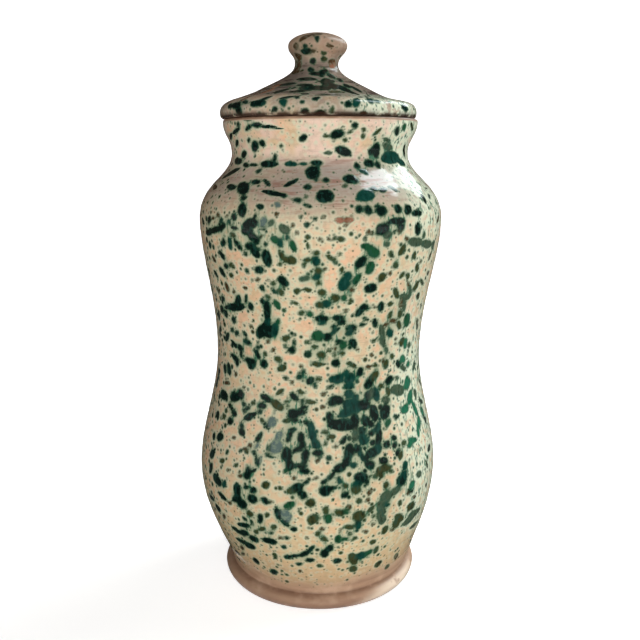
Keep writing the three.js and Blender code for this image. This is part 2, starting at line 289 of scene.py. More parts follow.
        Dab(x=337, y=400, long=15, wide=8, tilt=-15), Dab(x=332, y=403, long=8, wide=7),
        Dab(x=363, y=405, long=14, wide=9), Dab(x=368, y=395, long=9, wide=6, tilt=80),
        Dab(x=366, y=421, long=9, wide=7, tilt=-60), Dab(x=371, y=424, long=6, wide=4, tilt=-70),
        Dab(x=374, y=413, long=15, wide=7, tilt=-80), Dab(x=385, y=412, long=15, wide=9, tilt=80),
        Dab(x=344, y=440, long=9, wide=5, tilt=55), Dab(x=349, y=451, long=15, wide=9, tilt=80),
        Dab(x=357, y=449, long=9, wide=7), Dab(x=347, y=461, long=12, wide=8, tilt=75),
        Dab(x=340, y=468, long=13, wide=9, tilt=30), Dab(x=333, y=474, long=9, wide=3, tilt=60),
        Dab(x=329, y=458, long=6), Dab(x=372, y=453, long=12, wide=8, tilt=25), Dab(x=370, y=465, long=9),
        Dab(x=366, y=459, long=7, wide=5, tilt=-60), Dab(x=379, y=437, long=15, wide=5, tilt=85),
        Dab(x=373, y=443, long=5, wide=4), Dab(x=387, y=445, long=7, wide=6), Dab(x=394, y=438, long=5),
        Dab(x=395, y=445, long=7, wide=5, tilt=80), Dab(x=396, y=417, long=5, wide=4),
        Dab(x=384, y=461, long=8, wide=7), Dab(x=372, y=433, long=4), Dab(x=362, y=431, long=7, wide=6),
        # belly, right
        Dab(x=421, y=401, long=7, wide=4, tilt=-45), Dab(x=425, y=419, long=7, wide=4, tilt=-70),
        Dab(x=429, y=448, long=8, wide=4, tilt=80), Dab(x=411, y=491, long=5, wide=4),
        Dab(x=398, y=452, long=9, wide=4, tilt=75), Dab(x=401, y=481, long=12, wide=9, tilt=70),
        Dab(x=419, y=350, long=13, wide=3, tilt=74), Dab(x=418, y=229, long=13, wide=6, tilt=88),
        Dab(x=417, y=213, long=10, wide=7), Dab(x=429, y=196, long=5, wide=3, tilt=-75),
        Dab(x=424, y=199, long=11, wide=2.5, tilt=-60),
        # shoulder, in the window's light
        # lower belly
        Dab(x=361, y=478, long=14, wide=11), Dab(x=367, y=482, long=7, wide=4, tilt=-80),
        Dab(x=330, y=477, long=5), Dab(x=324, y=482, long=8, wide=4, tilt=25),
        Dab(x=325, y=491, long=12, wide=11), Dab(x=333, y=488, long=9, wide=4, tilt=15),
        Dab(x=345, y=495, long=9, wide=6, tilt=35), Dab(x=297, y=488, long=13, wide=9, tilt=20),
        Dab(x=302, y=494, long=12, wide=7, tilt=-30), Dab(x=307, y=482, long=7, wide=3.5, tilt=25),
        Dab(x=246, y=487, long=6, wide=5), Dab(x=253, y=490, long=7),
        Dab(x=252, y=499, long=11, wide=8, tilt=-30), Dab(x=265, y=501, long=9, wide=6, tilt=-45),
        Dab(x=237, y=491, long=17, wide=7, tilt=-85), Dab(x=237, y=499, long=10, wide=8),
        Dab(x=242, y=504, long=11, wide=8, tilt=-50), Dab(x=212, y=498, long=7, wide=4, tilt=-50),
        Dab(x=222, y=496, long=13, wide=3, tilt=-48), Dab(x=218, y=508, long=9, wide=4, tilt=-60),
        Dab(x=278, y=514, long=14, wide=6, tilt=-70), Dab(x=285, y=523, long=13, wide=4, tilt=-40),
        Dab(x=260, y=519, long=11, wide=6, tilt=-85), Dab(x=243, y=525, long=13, wide=4, tilt=-10),
        Dab(x=244, y=533, long=9, wide=6, tilt=-30), Dab(x=236, y=530, long=12, wide=3, tilt=-38),
        Dab(x=245, y=519, long=6, wide=3, tilt=-40), Dab(x=252, y=523, long=7, wide=3, tilt=-70),
        Dab(x=254, y=539, long=11, wide=5, tilt=-35), Dab(x=241, y=541, long=12, wide=3, tilt=-32),
        Dab(x=250, y=546, long=12, wide=5, tilt=-28), Dab(x=270, y=541, long=15, wide=6, tilt=-16),
        Dab(x=271, y=533, long=5, wide=4), Dab(x=287, y=538, long=5, wide=4),
        Dab(x=284, y=547, long=6, wide=3.5, tilt=-15), Dab(x=287, y=557, long=6, wide=5),
        Dab(x=294, y=556, long=12, wide=3, tilt=8), Dab(x=304, y=554, long=12, wide=5, tilt=18),
        Dab(x=311, y=549, long=9, wide=4, tilt=40), Dab(x=310, y=560, long=9, wide=4),
        Dab(x=299, y=564, long=6, wide=4), Dab(x=274, y=572, long=8, wide=5, tilt=-22),
        Dab(x=256, y=561, long=9, wide=4, tilt=-42), Dab(x=325, y=553, long=11, wide=8, tilt=45),
        Dab(x=330, y=548, long=8, wide=6, tilt=35), Dab(x=337, y=561, long=9, wide=5, tilt=10),
        Dab(x=294, y=529, long=6, wide=5),
    ),
    Tint.TEAL: (
        Dab(x=283, y=102, long=8), Dab(x=356, y=102, long=10, wide=8, tilt=80),
        Dab(x=370, y=100, long=8, wide=4, tilt=-20), Dab(x=377, y=101, long=7, wide=2.5, tilt=-30),
        Dab(x=368, y=95, long=10, wide=2.5, tilt=-15), Dab(x=361, y=97, long=5, wide=2.5),
        Dab(x=391, y=158, long=18, wide=12), Dab(x=401, y=162, long=11, wide=5, tilt=-40),
        Dab(x=366, y=195, long=18, wide=12), Dab(x=364, y=172, long=11, wide=4, tilt=-25),
        Dab(x=291, y=164, long=13, wide=5), Dab(x=303, y=164, long=8, wide=3),
        Dab(x=229, y=222, long=7, wide=3, tilt=-80), Dab(x=230, y=243, long=13, wide=4, tilt=-85),
        Dab(x=280, y=243, long=9, wide=6, tilt=-70), Dab(x=287, y=238, long=5),
        Dab(x=316, y=261, long=10, wide=8, tilt=-70), Dab(x=317, y=277, long=8, wide=7),
        Dab(x=344, y=284, long=15, wide=11, tilt=60), Dab(x=348, y=276, long=10, wide=8, tilt=-30),
        Dab(x=327, y=304, long=10, wide=8), Dab(x=268, y=322, long=12, wide=6, tilt=-85),
        Dab(x=275, y=329, long=15, wide=7, tilt=85), Dab(x=322, y=323, long=10, wide=4),
        Dab(x=336, y=379, long=15, wide=9), Dab(x=350, y=379, long=12, wide=9, tilt=30),
        Dab(x=347, y=374, long=9, wide=6, tilt=-60), Dab(x=349, y=386, long=10, wide=7),
        Dab(x=349, y=394, long=9, wide=8), Dab(x=355, y=397, long=7, wide=5),
        Dab(x=353, y=406, long=20, wide=13), Dab(x=376, y=394, long=14, wide=6, tilt=-80),
        Dab(x=346, y=413, long=14, wide=9, tilt=30), Dab(x=312, y=432, long=23, wide=8, tilt=-80),
        Dab(x=316, y=444, long=12, wide=9, tilt=-60), Dab(x=363, y=439, long=12, wide=7, tilt=-80),
        Dab(x=378, y=427, long=10, wide=4, tilt=80), Dab(x=378, y=449, long=10, wide=6, tilt=80),
        Dab(x=362, y=456, long=12, wide=4, tilt=-60), Dab(x=354, y=465, long=7, wide=5),
        Dab(x=405, y=466, long=10, wide=5, tilt=80), Dab(x=404, y=476, long=12, wide=6, tilt=-80),
        Dab(x=386, y=505, long=7, wide=5), Dab(x=339, y=480, long=9, wide=5, tilt=-70),
        Dab(x=358, y=525, long=9, wide=7, tilt=80), Dab(x=357, y=484, long=10, wide=8, tilt=30),
        Dab(x=361, y=556, long=11, wide=7, tilt=20), Dab(x=224, y=484, long=8, wide=4, tilt=80),
        Dab(x=390, y=333, long=9, wide=7, tilt=80),
    ),
    Tint.GREEN: (
        Dab(x=293, y=246, long=13, wide=6, tilt=-68), Dab(x=275, y=240, long=10, wide=7, tilt=-35),
        Dab(x=368, y=247, long=14, wide=7, tilt=-12), Dab(x=374, y=253, long=12, wide=10),
        Dab(x=370, y=268, long=13, wide=8, tilt=65), Dab(x=357, y=279, long=14, wide=6, tilt=58),
        Dab(x=277, y=305, long=12, wide=5, tilt=-60), Dab(x=318, y=336, long=13, wide=11),
        Dab(x=343, y=345, long=9, wide=7, tilt=80), Dab(x=407, y=320, long=14, wide=6, tilt=80),
        Dab(x=310, y=314, long=6), Dab(x=344, y=298, long=6), Dab(x=278, y=322, long=8, wide=4, tilt=80),
        Dab(x=388, y=423, long=8, wide=4, tilt=60), Dab(x=328, y=519, long=10, wide=8, tilt=80),
        Dab(x=346, y=512, long=7, wide=5), Dab(x=338, y=539, long=8, wide=6, tilt=80),
        Dab(x=345, y=539, long=9, wide=3, tilt=-5), Dab(x=368, y=553, long=11, wide=4, tilt=32),
        Dab(x=289, y=505, long=12, wide=6, tilt=20), Dab(x=286, y=471, long=6, wide=4),
        Dab(x=404, y=127, long=7, wide=4, tilt=70),
    ),
    Tint.OLIVE: (
        Dab(x=324, y=53, long=5, wide=3), Dab(x=324, y=59, long=5, wide=3),
        Dab(x=335, y=92, long=10, wide=3), Dab(x=332, y=110, long=8, wide=4, tilt=80),
        Dab(x=326, y=136, long=6, wide=3), Dab(x=345, y=140, long=5, wide=4),
        Dab(x=350, y=132, long=5, wide=3, tilt=20), Dab(x=364, y=130, long=4),
        Dab(x=363, y=136, long=6, wide=3.5, tilt=80), Dab(x=377, y=132, long=12, wide=3, tilt=40),
        Dab(x=412, y=127, long=9, wide=3, tilt=-85), Dab(x=345, y=186, long=5, wide=4),
        Dab(x=306, y=197, long=4), Dab(x=233, y=235, long=7, wide=4, tilt=-35),
        Dab(x=282, y=256, long=14, wide=5, tilt=-62), Dab(x=291, y=260, long=11, wide=8, tilt=-25),
        Dab(x=280, y=264, long=5, wide=4), Dab(x=232, y=266, long=8, wide=4, tilt=-40),
        Dab(x=231, y=275, long=5, wide=4, tilt=-50), Dab(x=273, y=284, long=6, wide=4, tilt=-40),
        Dab(x=281, y=292, long=9, wide=5, tilt=-60), Dab(x=268, y=297, long=6, wide=4, tilt=-35),
        Dab(x=295, y=303, long=11, wide=3, tilt=-20), Dab(x=308, y=237, long=5, wide=4),
        Dab(x=308, y=246, long=6, wide=3.5, tilt=-75), Dab(x=317, y=253, long=6, wide=5),
        Dab(x=304, y=265, long=6, wide=4, tilt=80), Dab(x=307, y=260, long=9, wide=4),
        Dab(x=297, y=291, long=6), Dab(x=308, y=290, long=7, wide=4, tilt=-10),
        Dab(x=301, y=313, long=8, wide=5), Dab(x=319, y=283, long=6, wide=5),
        Dab(x=318, y=271, long=8, wide=6), Dab(x=331, y=258, long=13, wide=3.5, tilt=-30),
        Dab(x=340, y=254, long=4), Dab(x=341, y=239, long=7, wide=5),
        Dab(x=335, y=238, long=5, wide=4, tilt=-50), Dab(x=402, y=250, long=13, wide=5, tilt=62),
        Dab(x=391, y=254, long=7, wide=5, tilt=-70), Dab(x=396, y=265, long=7, wide=5, tilt=70),
        Dab(x=414, y=255, long=8, wide=3, tilt=72), Dab(x=417, y=268, long=9, wide=3.5, tilt=80),
        Dab(x=382, y=277, long=10, wide=7, tilt=65), Dab(x=402, y=275, long=8, wide=3.5, tilt=62),
        Dab(x=342, y=270, long=7, wide=4, tilt=80), Dab(x=322, y=293, long=8, wide=7),
        Dab(x=335, y=298, long=9, wide=8, tilt=-30), Dab(x=351, y=301, long=5),
        Dab(x=319, y=305, long=7, wide=6), Dab(x=396, y=293, long=11, wide=5, tilt=-80),
        Dab(x=416, y=286, long=11, wide=3.5, tilt=68), Dab(x=422, y=282, long=7, wide=3, tilt=-72),
        Dab(x=418, y=296, long=7, wide=3.5, tilt=75), Dab(x=408, y=276, long=7, wide=3, tilt=78),
        Dab(x=390, y=304, long=5, wide=4, tilt=40), Dab(x=286, y=338, long=8, wide=5, tilt=20),
        Dab(x=307, y=342, long=4.5), Dab(x=321, y=355, long=8), Dab(x=315, y=347, long=7, wide=4),
        Dab(x=317, y=364, long=12, wide=5, tilt=-8), Dab(x=265, y=354, long=6, wide=4, tilt=-60),
        Dab(x=278, y=359, long=8, wide=6, tilt=-30), Dab(x=282, y=368, long=10, wide=6, tilt=22),
        Dab(x=329, y=350, long=5, wide=4), Dab(x=342, y=353, long=6, wide=5), Dab(x=334, y=355, long=4),
        Dab(x=351, y=364, long=12, wide=4, tilt=-22), Dab(x=373, y=341, long=5, wide=4),
        Dab(x=375, y=365, long=4), Dab(x=390, y=315, long=8, wide=4, tilt=65),
        Dab(x=400, y=314, long=8, wide=4, tilt=80), Dab(x=399, y=325, long=9, wide=4, tilt=-80),
        Dab(x=417, y=324, long=12, wide=3, tilt=86), Dab(x=402, y=342, long=10, wide=4, tilt=70),
        Dab(x=386, y=364, long=9, wide=5, tilt=80), Dab(x=392, y=356, long=6, wide=4, tilt=-80),
        Dab(x=374, y=376, long=12, wide=7, tilt=50), Dab(x=381, y=386, long=5, wide=4),
        Dab(x=388, y=391, long=9, wide=4, tilt=-75), Dab(x=319, y=379, long=6, wide=4.5),
        Dab(x=280, y=392, long=10, wide=4, tilt=35), Dab(x=301, y=392, long=8, wide=4, tilt=-40),
        Dab(x=287, y=402, long=6, wide=4), Dab(x=277, y=405, long=15, wide=8, tilt=-35),
        Dab(x=288, y=406, long=4), Dab(x=311, y=402, long=11, wide=4, tilt=-10), Dab(x=253, y=403, long=4),
        Dab(x=224, y=416, long=6, wide=3, tilt=-80), Dab(x=262, y=421, long=6, wide=4, tilt=-60),
        Dab(x=286, y=421, long=8, wide=4), Dab(x=247, y=452, long=4), Dab(x=222, y=461, long=5),
        Dab(x=236, y=465, long=4), Dab(x=266, y=485, long=9, wide=7, tilt=20),
        Dab(x=280, y=488, long=5, wide=4), Dab(x=291, y=491, long=9, wide=7),
        Dab(x=311, y=503, long=9, wide=8.5), Dab(x=331, y=437, long=8, wide=5, tilt=-15),
        Dab(x=325, y=432, long=8, wide=4), Dab(x=326, y=443, long=6, wide=4, tilt=80),
        Dab(x=385, y=468, long=10, wide=8), Dab(x=380, y=473, long=12, wide=5, tilt=-72),
        Dab(x=401, y=455, long=10, wide=4, tilt=80), Dab(x=391, y=471, long=4),
        Dab(x=386, y=485, long=7, wide=5, tilt=80), Dab(x=375, y=477, long=4), Dab(x=359, y=501, long=6),
        Dab(x=356, y=490, long=10, wide=8), Dab(x=345, y=486, long=6, wide=5),
        Dab(x=427, y=465, long=8, wide=2.5, tilt=-82), Dab(x=404, y=443, long=6, wide=4, tilt=60),
        Dab(x=400, y=503, long=6, wide=3.5, tilt=80), Dab(x=411, y=506, long=10, wide=6, tilt=50),
        Dab(x=326, y=510, long=9, wide=6, tilt=80), Dab(x=340, y=513, long=9, wide=8),
        Dab(x=359, y=516, long=14, wide=10, tilt=20), Dab(x=371, y=509, long=9, wide=4, tilt=40),
        Dab(x=349, y=527, long=10, wide=5), Dab(x=373, y=517, long=4), Dab(x=399, y=518, long=9, wide=8),
        Dab(x=396, y=524, long=9, wide=6, tilt=55), Dab(x=385, y=530, long=10, wide=5, tilt=60),
        Dab(x=354, y=539, long=7, wide=3, tilt=40), Dab(x=350, y=534, long=4.5, wide=4),
        Dab(x=373, y=542, long=6, wide=4, tilt=25), Dab(x=324, y=539, long=8, wide=5, tilt=-15),
        Dab(x=318, y=534, long=6, wide=5), Dab(x=353, y=559, long=11, wide=9, tilt=-60),
        Dab(x=353, y=569, long=8, wide=6), Dab(x=376, y=550, long=8, wide=4, tilt=60),
        Dab(x=378, y=564, long=9, wide=4, tilt=40), Dab(x=387, y=567, long=6, wide=3, tilt=50),
        Dab(x=275, y=556, long=7, wide=3.5, tilt=-60), Dab(x=320, y=566, long=6, wide=4),
        Dab(x=313, y=519, long=12, wide=10, tilt=25), Dab(x=299, y=511, long=4),
        Dab(x=250, y=514, long=8, wide=4.5, tilt=-28), Dab(x=267, y=515, long=5, wide=4, tilt=80),
        Dab(x=262, y=529, long=6, wide=4), Dab(x=256, y=532, long=5, wide=4, tilt=-45),
        Dab(x=274, y=527, long=6, wide=5),
    ),
    Tint.BROWN: (
        Dab(x=305, y=37, long=13, wide=3, tilt=24), Dab(x=316, y=34, long=12, wide=2.5, tilt=3),
        Dab(x=296, y=46, long=6, wide=4, tilt=80), Dab(x=299, y=64, long=6, wide=3, tilt=80),
        Dab(x=298, y=56, long=8, wide=4, tilt=-40), Dab(x=330, y=46, long=8, wide=2.5, tilt=-10),
        Dab(x=296, y=71, long=7, wide=5, tilt=40), Dab(x=313, y=51, long=6, wide=3),
        Dab(x=438, y=219, long=8, wide=2.5, tilt=75), Dab(x=420, y=382, long=7, wide=2.5, tilt=-75),
        Dab(x=430, y=256, long=10, wide=2, tilt=75), Dab(x=421, y=306, long=6, wide=2, tilt=82),
        Dab(x=428, y=273, long=5, wide=2.5, tilt=80), Dab(x=421, y=316, long=6, wide=2, tilt=84),
        Dab(x=401, y=303, long=10, wide=4, tilt=80), Dab(x=421, y=261, long=4, wide=2.5, tilt=80),
        Dab(x=408, y=284, long=5, wide=2.5, tilt=85), Dab(x=390, y=273, long=3),
        Dab(x=407, y=239, long=4, wide=3), Dab(x=426, y=188, long=4, wide=2),
        Dab(x=393, y=321, long=6, wide=5), Dab(x=295, y=46, long=4, wide=3, tilt=80),
        Dab(x=363, y=113, long=6, wide=3), Dab(x=414, y=117, long=6, wide=3.5, tilt=70),
        Dab(x=332, y=62, long=6, wide=4), Dab(x=215, y=187, long=6, wide=5),
        Dab(x=218, y=215, long=5, wide=3, tilt=-75), Dab(x=213, y=218, long=3), Dab(x=227, y=216, long=3),
        Dab(x=277, y=214, long=4, wide=3), Dab(x=262, y=236, long=3), Dab(x=257, y=280, long=3.5),
        Dab(x=268, y=280, long=3), Dab(x=227, y=287, long=10, wide=3, tilt=-68), Dab(x=234, y=292, long=3.5),
        Dab(x=218, y=290, long=8, wide=2.5, tilt=-68), Dab(x=214, y=259, long=8, wide=2.5, tilt=-60),
        Dab(x=245, y=288, long=5, wide=2.5, tilt=-20), Dab(x=297, y=233, long=4, wide=3, tilt=70),
        Dab(x=293, y=225, long=3.5), Dab(x=345, y=226, long=4), Dab(x=370, y=233, long=8, wide=3.5),
        Dab(x=329, y=239, long=3), Dab(x=320, y=239, long=4), Dab(x=324, y=217, long=3.5),
        Dab(x=346, y=219, long=6, wide=3, tilt=-40), Dab(x=406, y=238, long=3.5),
        Dab(x=400, y=231, long=5, wide=4), Dab(x=325, y=269, long=4, wide=3),
        Dab(x=352, y=290, long=6, wide=5), Dab(x=346, y=311, long=5, wide=4), Dab(x=374, y=307, long=3),
        Dab(x=251, y=326, long=3.5, wide=3), Dab(x=273, y=350, long=3.5), Dab(x=268, y=342, long=4, wide=3),
        Dab(x=301, y=366, long=4, wide=3), Dab(x=236, y=374, long=5, wide=2.5, tilt=80),
        Dab(x=227, y=383, long=5, wide=3.5), Dab(x=244, y=387, long=3), Dab(x=292, y=382, long=4, wide=3.5),
        Dab(x=323, y=394, long=5), Dab(x=323, y=407, long=5, wide=4), Dab(x=358, y=350, long=3),
        Dab(x=335, y=349, long=3), Dab(x=368, y=367, long=4), Dab(x=372, y=355, long=4),
        Dab(x=386, y=325, long=5, wide=4), Dab(x=392, y=321, long=4), Dab(x=396, y=339, long=3),
        Dab(x=396, y=344, long=3), Dab(x=383, y=361, long=5, wide=3, tilt=80),
        Dab(x=234, y=438, long=4, wide=3), Dab(x=250, y=445, long=4), Dab(x=245, y=449, long=3),
        Dab(x=228, y=470, long=3), Dab(x=240, y=476, long=4, wide=3), Dab(x=294, y=478, long=4),
        Dab(x=317, y=461, long=4), Dab(x=316, y=478, long=5, wide=4), Dab(x=272, y=502, long=3),
        Dab(x=230, y=503, long=3), Dab(x=336, y=447, long=4, wide=3),
        Dab(x=370, y=492, long=6, wide=4, tilt=50), Dab(x=368, y=500, long=4),
        Dab(x=408, y=493, long=5, wide=3, tilt=60), Dab(x=414, y=497, long=4, wide=3),
        Dab(x=426, y=485, long=4, wide=2.5, tilt=80), Dab(x=349, y=507, long=5, wide=4),
        Dab(x=224, y=516, long=5, wide=3.5, tilt=-70), Dab(x=322, y=529, long=5, wide=4),
        Dab(x=340, y=530, long=3), Dab(x=366, y=532, long=4.5, wide=4), Dab(x=373, y=524, long=4, wide=3),
        Dab(x=280, y=538, long=4, wide=3), Dab(x=242, y=548, long=5, wide=3, tilt=-60),
        Dab(x=237, y=552, long=6, wide=3.5, tilt=-50), Dab(x=243, y=554, long=4, wide=3),
        Dab(x=396, y=556, long=7, wide=4, tilt=60), Dab(x=392, y=530, long=4, wide=3),
        Dab(x=300, y=571, long=3), Dab(x=307, y=538, long=4, wide=2.5),
    ),
    Tint.SLATE: (
        Dab(x=414, y=366, long=9, wide=3, tilt=80), Dab(x=418, y=366, long=8, wide=2.5, tilt=80),
        Dab(x=415, y=393, long=8, wide=3.5, tilt=-80), Dab(x=409, y=345, long=6, wide=3, tilt=80),
        Dab(x=433, y=245, long=9, wide=4, tilt=80), Dab(x=419, y=474, long=7, wide=5, tilt=60),
        Dab(x=271, y=223, long=7, wide=6), Dab(x=284, y=229, long=12, wide=8, tilt=-35),
        Dab(x=388, y=235, long=10, wide=7, tilt=40), Dab(x=387, y=244, long=6, wide=5),
        Dab(x=416, y=242, long=14, wide=9), Dab(x=427, y=244, long=11, wide=8),
        Dab(x=424, y=235, long=7, wide=3, tilt=80), Dab(x=302, y=279, long=7, wide=5),
        Dab(x=307, y=278, long=6, wide=5), Dab(x=335, y=262, long=6, wide=4, tilt=-50),
        Dab(x=405, y=297, long=10, wide=7), Dab(x=410, y=290, long=10, wide=3, tilt=85),
        Dab(x=404, y=306, long=11, wide=4, tilt=80), Dab(x=382, y=334, long=19, wide=5, tilt=-86),
        Dab(x=383, y=343, long=11, wide=5, tilt=-60), Dab(x=386, y=350, long=7, wide=4, tilt=-80),
        Dab(x=397, y=378, long=4), Dab(x=398, y=390, long=13, wide=11),
        Dab(x=403, y=368, long=7, wide=4, tilt=-60), Dab(x=386, y=400, long=8, wide=6),
        Dab(x=371, y=394, long=10, wide=6, tilt=80), Dab(x=355, y=434, long=14, wide=5, tilt=85),
        Dab(x=388, y=147, long=9, wide=7), Dab(x=387, y=140, long=9, wide=4, tilt=-20),
        Dab(x=285, y=346, long=4), Dab(x=328, y=153, long=8, wide=3),
        Dab(x=414, y=525, long=12, wide=4, tilt=45), Dab(x=409, y=520, long=16, wide=5, tilt=45),
        Dab(x=415, y=513, long=15, wide=5, tilt=42), Dab(x=382, y=519, long=11, wide=8, tilt=80),
        Dab(x=395, y=491, long=14, wide=6, tilt=40), Dab(x=386, y=497, long=13, wide=10, tilt=50),
        Dab(x=381, y=509, long=16, wide=8, tilt=-85),
    ),
    Tint.JADE: (
        Dab(x=418, y=431, long=13, wide=2.5, tilt=-82), Dab(x=410, y=397, long=15, wide=5, tilt=82),
        Dab(x=405, y=409, long=10, wide=7, tilt=60), Dab(x=415, y=409, long=18, wide=3, tilt=-65),
        Dab(x=422, y=411, long=10, wide=4, tilt=-75), Dab(x=419, y=422, long=11, wide=3.5, tilt=-85),
        Dab(x=408, y=384, long=12, wide=3.5, tilt=80), Dab(x=408, y=364, long=7, wide=3.5, tilt=80),
        Dab(x=405, y=344, long=10, wide=3.5, tilt=85), Dab(x=406, y=383, long=14, wide=3.5, tilt=80),
        Dab(x=403, y=359, long=8, wide=5, tilt=-80), Dab(x=413, y=440, long=9, wide=5, tilt=10),
        Dab(x=410, y=444, long=8, wide=4, tilt=70), Dab(x=412, y=485, long=10, wide=5, tilt=70),
    ),
    Tint.BLUE_AND_SHEEN: (
        # partly milky glaze, partly painted grey-blue reflections
        Dab(x=263, y=222, long=9, wide=7, tilt=70), Dab(x=278, y=205, long=6),
        Dab(x=272, y=422, long=11, wide=8, tilt=70), Dab(x=279, y=436, long=10, wide=6, tilt=60),
        Dab(x=276, y=447, long=14, wide=11, tilt=50), Dab(x=286, y=516, long=13, wide=10, tilt=-40),
        Dab(x=260, y=460, long=8, wide=3, tilt=80), Dab(x=257, y=446, long=7, wide=3, tilt=60),
        Dab(x=364, y=171, long=4, wide=3),
    ),
    Tint.RUST: (
        Dab(x=339, y=220, long=10, wide=4, tilt=-5), Dab(x=349, y=220, long=9, wide=4, tilt=8),
        Dab(x=333, y=65, long=6, wide=4, tilt=40), Dab(x=268, y=91, long=14, wide=3, tilt=22),
        Dab(x=256, y=94, long=10, wide=3, tilt=25), Dab(x=276, y=86, long=10, wide=3, tilt=15),
        Dab(x=246, y=98, long=10, wide=3, tilt=28),
    ),
}


@dataclass(frozen=True)
class Viewpoint:
    """The camera of the photograph, which stands square before the jar and looks a little down.

    Attributes:
        distance: Distance of the lens from the jar's axis, in metres.
        level: Level of the lens, in metres.
        fall: Angle below the horizon that it looks at, in degrees.
        focal_pixels: Focal length in pixels of the picture.
        picture: Width and height of the picture, in pixels.
        axis_column: Column of the picture on which the jar's axis lies.
        sensor: Width of the sensor, in mm.
        nearest: Least distance that the camera shows, in metres.
    """

    distance: float = 0.500
    level: float = 0.2794
    fall: float = 12.15
    focal_pixels: float = 781.0
    picture: float = 640.0
    axis_column: float = 317.4
    sensor: float = 36.0
    nearest: float = 0.02

    @property
    def lens(self) -> Vector:
        """The place of the lens, in metres."""
        return Vector((0.0, -self.distance, self.level))

    def ray(self, x: float, y: float) -> Vector:
        """The direction in which the lens sees a pixel.

        Args:
            x: Column of the pixel.
            y: Row of the pixel.

        Returns:
            The direction, of length one.
        """
        fall = math.radians(self.fall)
        ahead = Vector((0.0, math.cos(fall), -math.sin(fall)))
        up = Vector((0.0, math.sin(fall), math.cos(fall)))
        side = Vector((1.0, 0.0, 0.0))
        right = (x - self.axis_column) / self.focal_pixels
        rise = (self.picture / 2 - y) / self.focal_pixels
        return (ahead + right * side + rise * up).normalized()

    def sees(self, place: Vector, outward: Vector, least: float) -> bool:
        """Whether a patch faces the lens by more than a cosine."""
        return (self.lens - place).normalized().dot(outward) > least

    def build(self) -> bpy.types.Object:
        """Adds the camera and makes it the scene's.

        Returns:
            The camera.
        """
        camera = bpy.data.cameras.new("photograph_view")
        camera.sensor_width = self.sensor
        camera.lens = self.focal_pixels * self.sensor / self.picture
        camera.shift_x = (self.picture / 2 - self.axis_column) / self.picture
        camera.clip_start = self.nearest
        holder = bpy.data.objects.new("photograph_view", camera)
        holder.location = self.lens
        holder.rotation_euler = (math.radians(90.0 - self.fall), 0.0, 0.0)
        bpy.context.scene.collection.objects.link(holder)
        bpy.context.scene.camera = holder
        return holder


@dataclass(frozen=True)
class Station:
    """One point of a half-section.

    Attributes:
        radius: Distance from the axis, in mm.
        level: Height, in mm.
        face: The surface that the point lies on.
    """

    radius: float
    level: float
    face: Face


@dataclass
class Section:
    """The half-section of a turned piece, drawn from the axis round to the axis.

    Attributes:
        step: Distance between the points of a curve, in mm.
        stations: The points drawn so far.
    """

    step: float
    stations: list[Station] = field(default_factory=list)

    def start(self, radius: float, level: float, face: Face) -> None:
        """Sets the first point, by its radius and level in mm and its face."""
        self.stations.append(Station(radius, level, face))

    def line(self, radius: float, level: float, face: Face, steps: int = 1) -> None:
        """Draws a straight line from the last point.

        Args:
            radius: Distance of its end from the axis, in mm.
            level: Height of its end, in mm.
            face: The surface that it lies on.
            steps: Number of points along it.
        """
        last = self.stations[-1]
        for share in (count / steps for count in range(1, steps + 1)):
            across = last.radius + share * (radius - last.radius)
            self.stations.append(Station(across, last.level + share * (level - last.level), face))

    def swell(self, first: Pair, second: Pair, end: Pair, face: Face) -> None:
        """Draws a curve that leaves the last point towards one handle and arrives from the other.

        Args:
            first: Radius and level of the handle of its start, in mm.
            second: Radius and level of the handle of its end, in mm.
            end: Radius and level of its end, in mm.
            face: The surface that it lies on.
        """
        last = self.stations[-1]
        knots = [Vector((last.radius, last.level)), Vector(first), Vector(second), Vector(end)]
        length = sum((b - a).length for a, b in zip(knots, knots[1:]))
        steps = max(2, round(length / self.step))
        for point in interpolate_bezier(*knots, steps + 1)[1:]:
            self.stations.append(Station(point.x, point.y, face))

    def round(self, corner: Pair, end: Pair, face: Face) -> None:
        """Draws a quarter round from the last point, whose sides meet at a corner.

        Args:
            corner: Radius and level of the corner, in mm.
            end: Radius and level of its end, in mm.
            face: The surface that it lies on.
        """
        pull = 2 / 3
        last = self.stations[-1]
        first = (last.radius + pull * (corner[0] - last.radius), last.level + pull * (corner[1] - last.level))
        second = (end[0] + pull * (corner[0] - end[0]), end[1] + pull * (corner[1] - end[1]))
        self.swell(first, second, end, face)

    def turn(self, segments: int) -> bmesh.types.BMesh:
        """Spins the section about the vertical axis into a closed shell.

        Args:
            segments: Number of steps in the full turn.

        Returns:
            The shell, in metres, with each vertex's face in the integer layer "face".
        """
        shell = bmesh.new()
        layer = shell.verts.layers.int.new("face")
        section = []
        for station in self.stations:
            vertex = shell.verts.new((station.radius * MM, 0.0, station.level * MM))
            vertex[layer] = station.face.value
            section.append(vertex)
        edges = [shell.edges.new(pair) for pair in zip(section, section[1:])]
        bmesh.ops.spin(shell, geom=section + edges, cent=MIDDLE, axis=UPRIGHT, dvec=MIDDLE, angle=FULL_TURN,
                       steps=segments, use_merge=True, use_duplicate=False)
        bmesh.ops.remove_doubles(shell, verts=shell.verts[:], dist=MERGE_DISTANCE * MM)
        bmesh.ops.recalc_face_normals(shell, faces=shell.faces[:])
        return shell


def smooth_share(values: np.ndarray, low: float, high: float, share: float = 1.0) -> np.ndarray:
    """A smooth rise of each value, from nothing at low to a share at high."""
    rise = np.clip((values - low) / (high - low), 0.0, 1.0)
    return share * (rise * rise * (3.0 - 2.0 * rise))


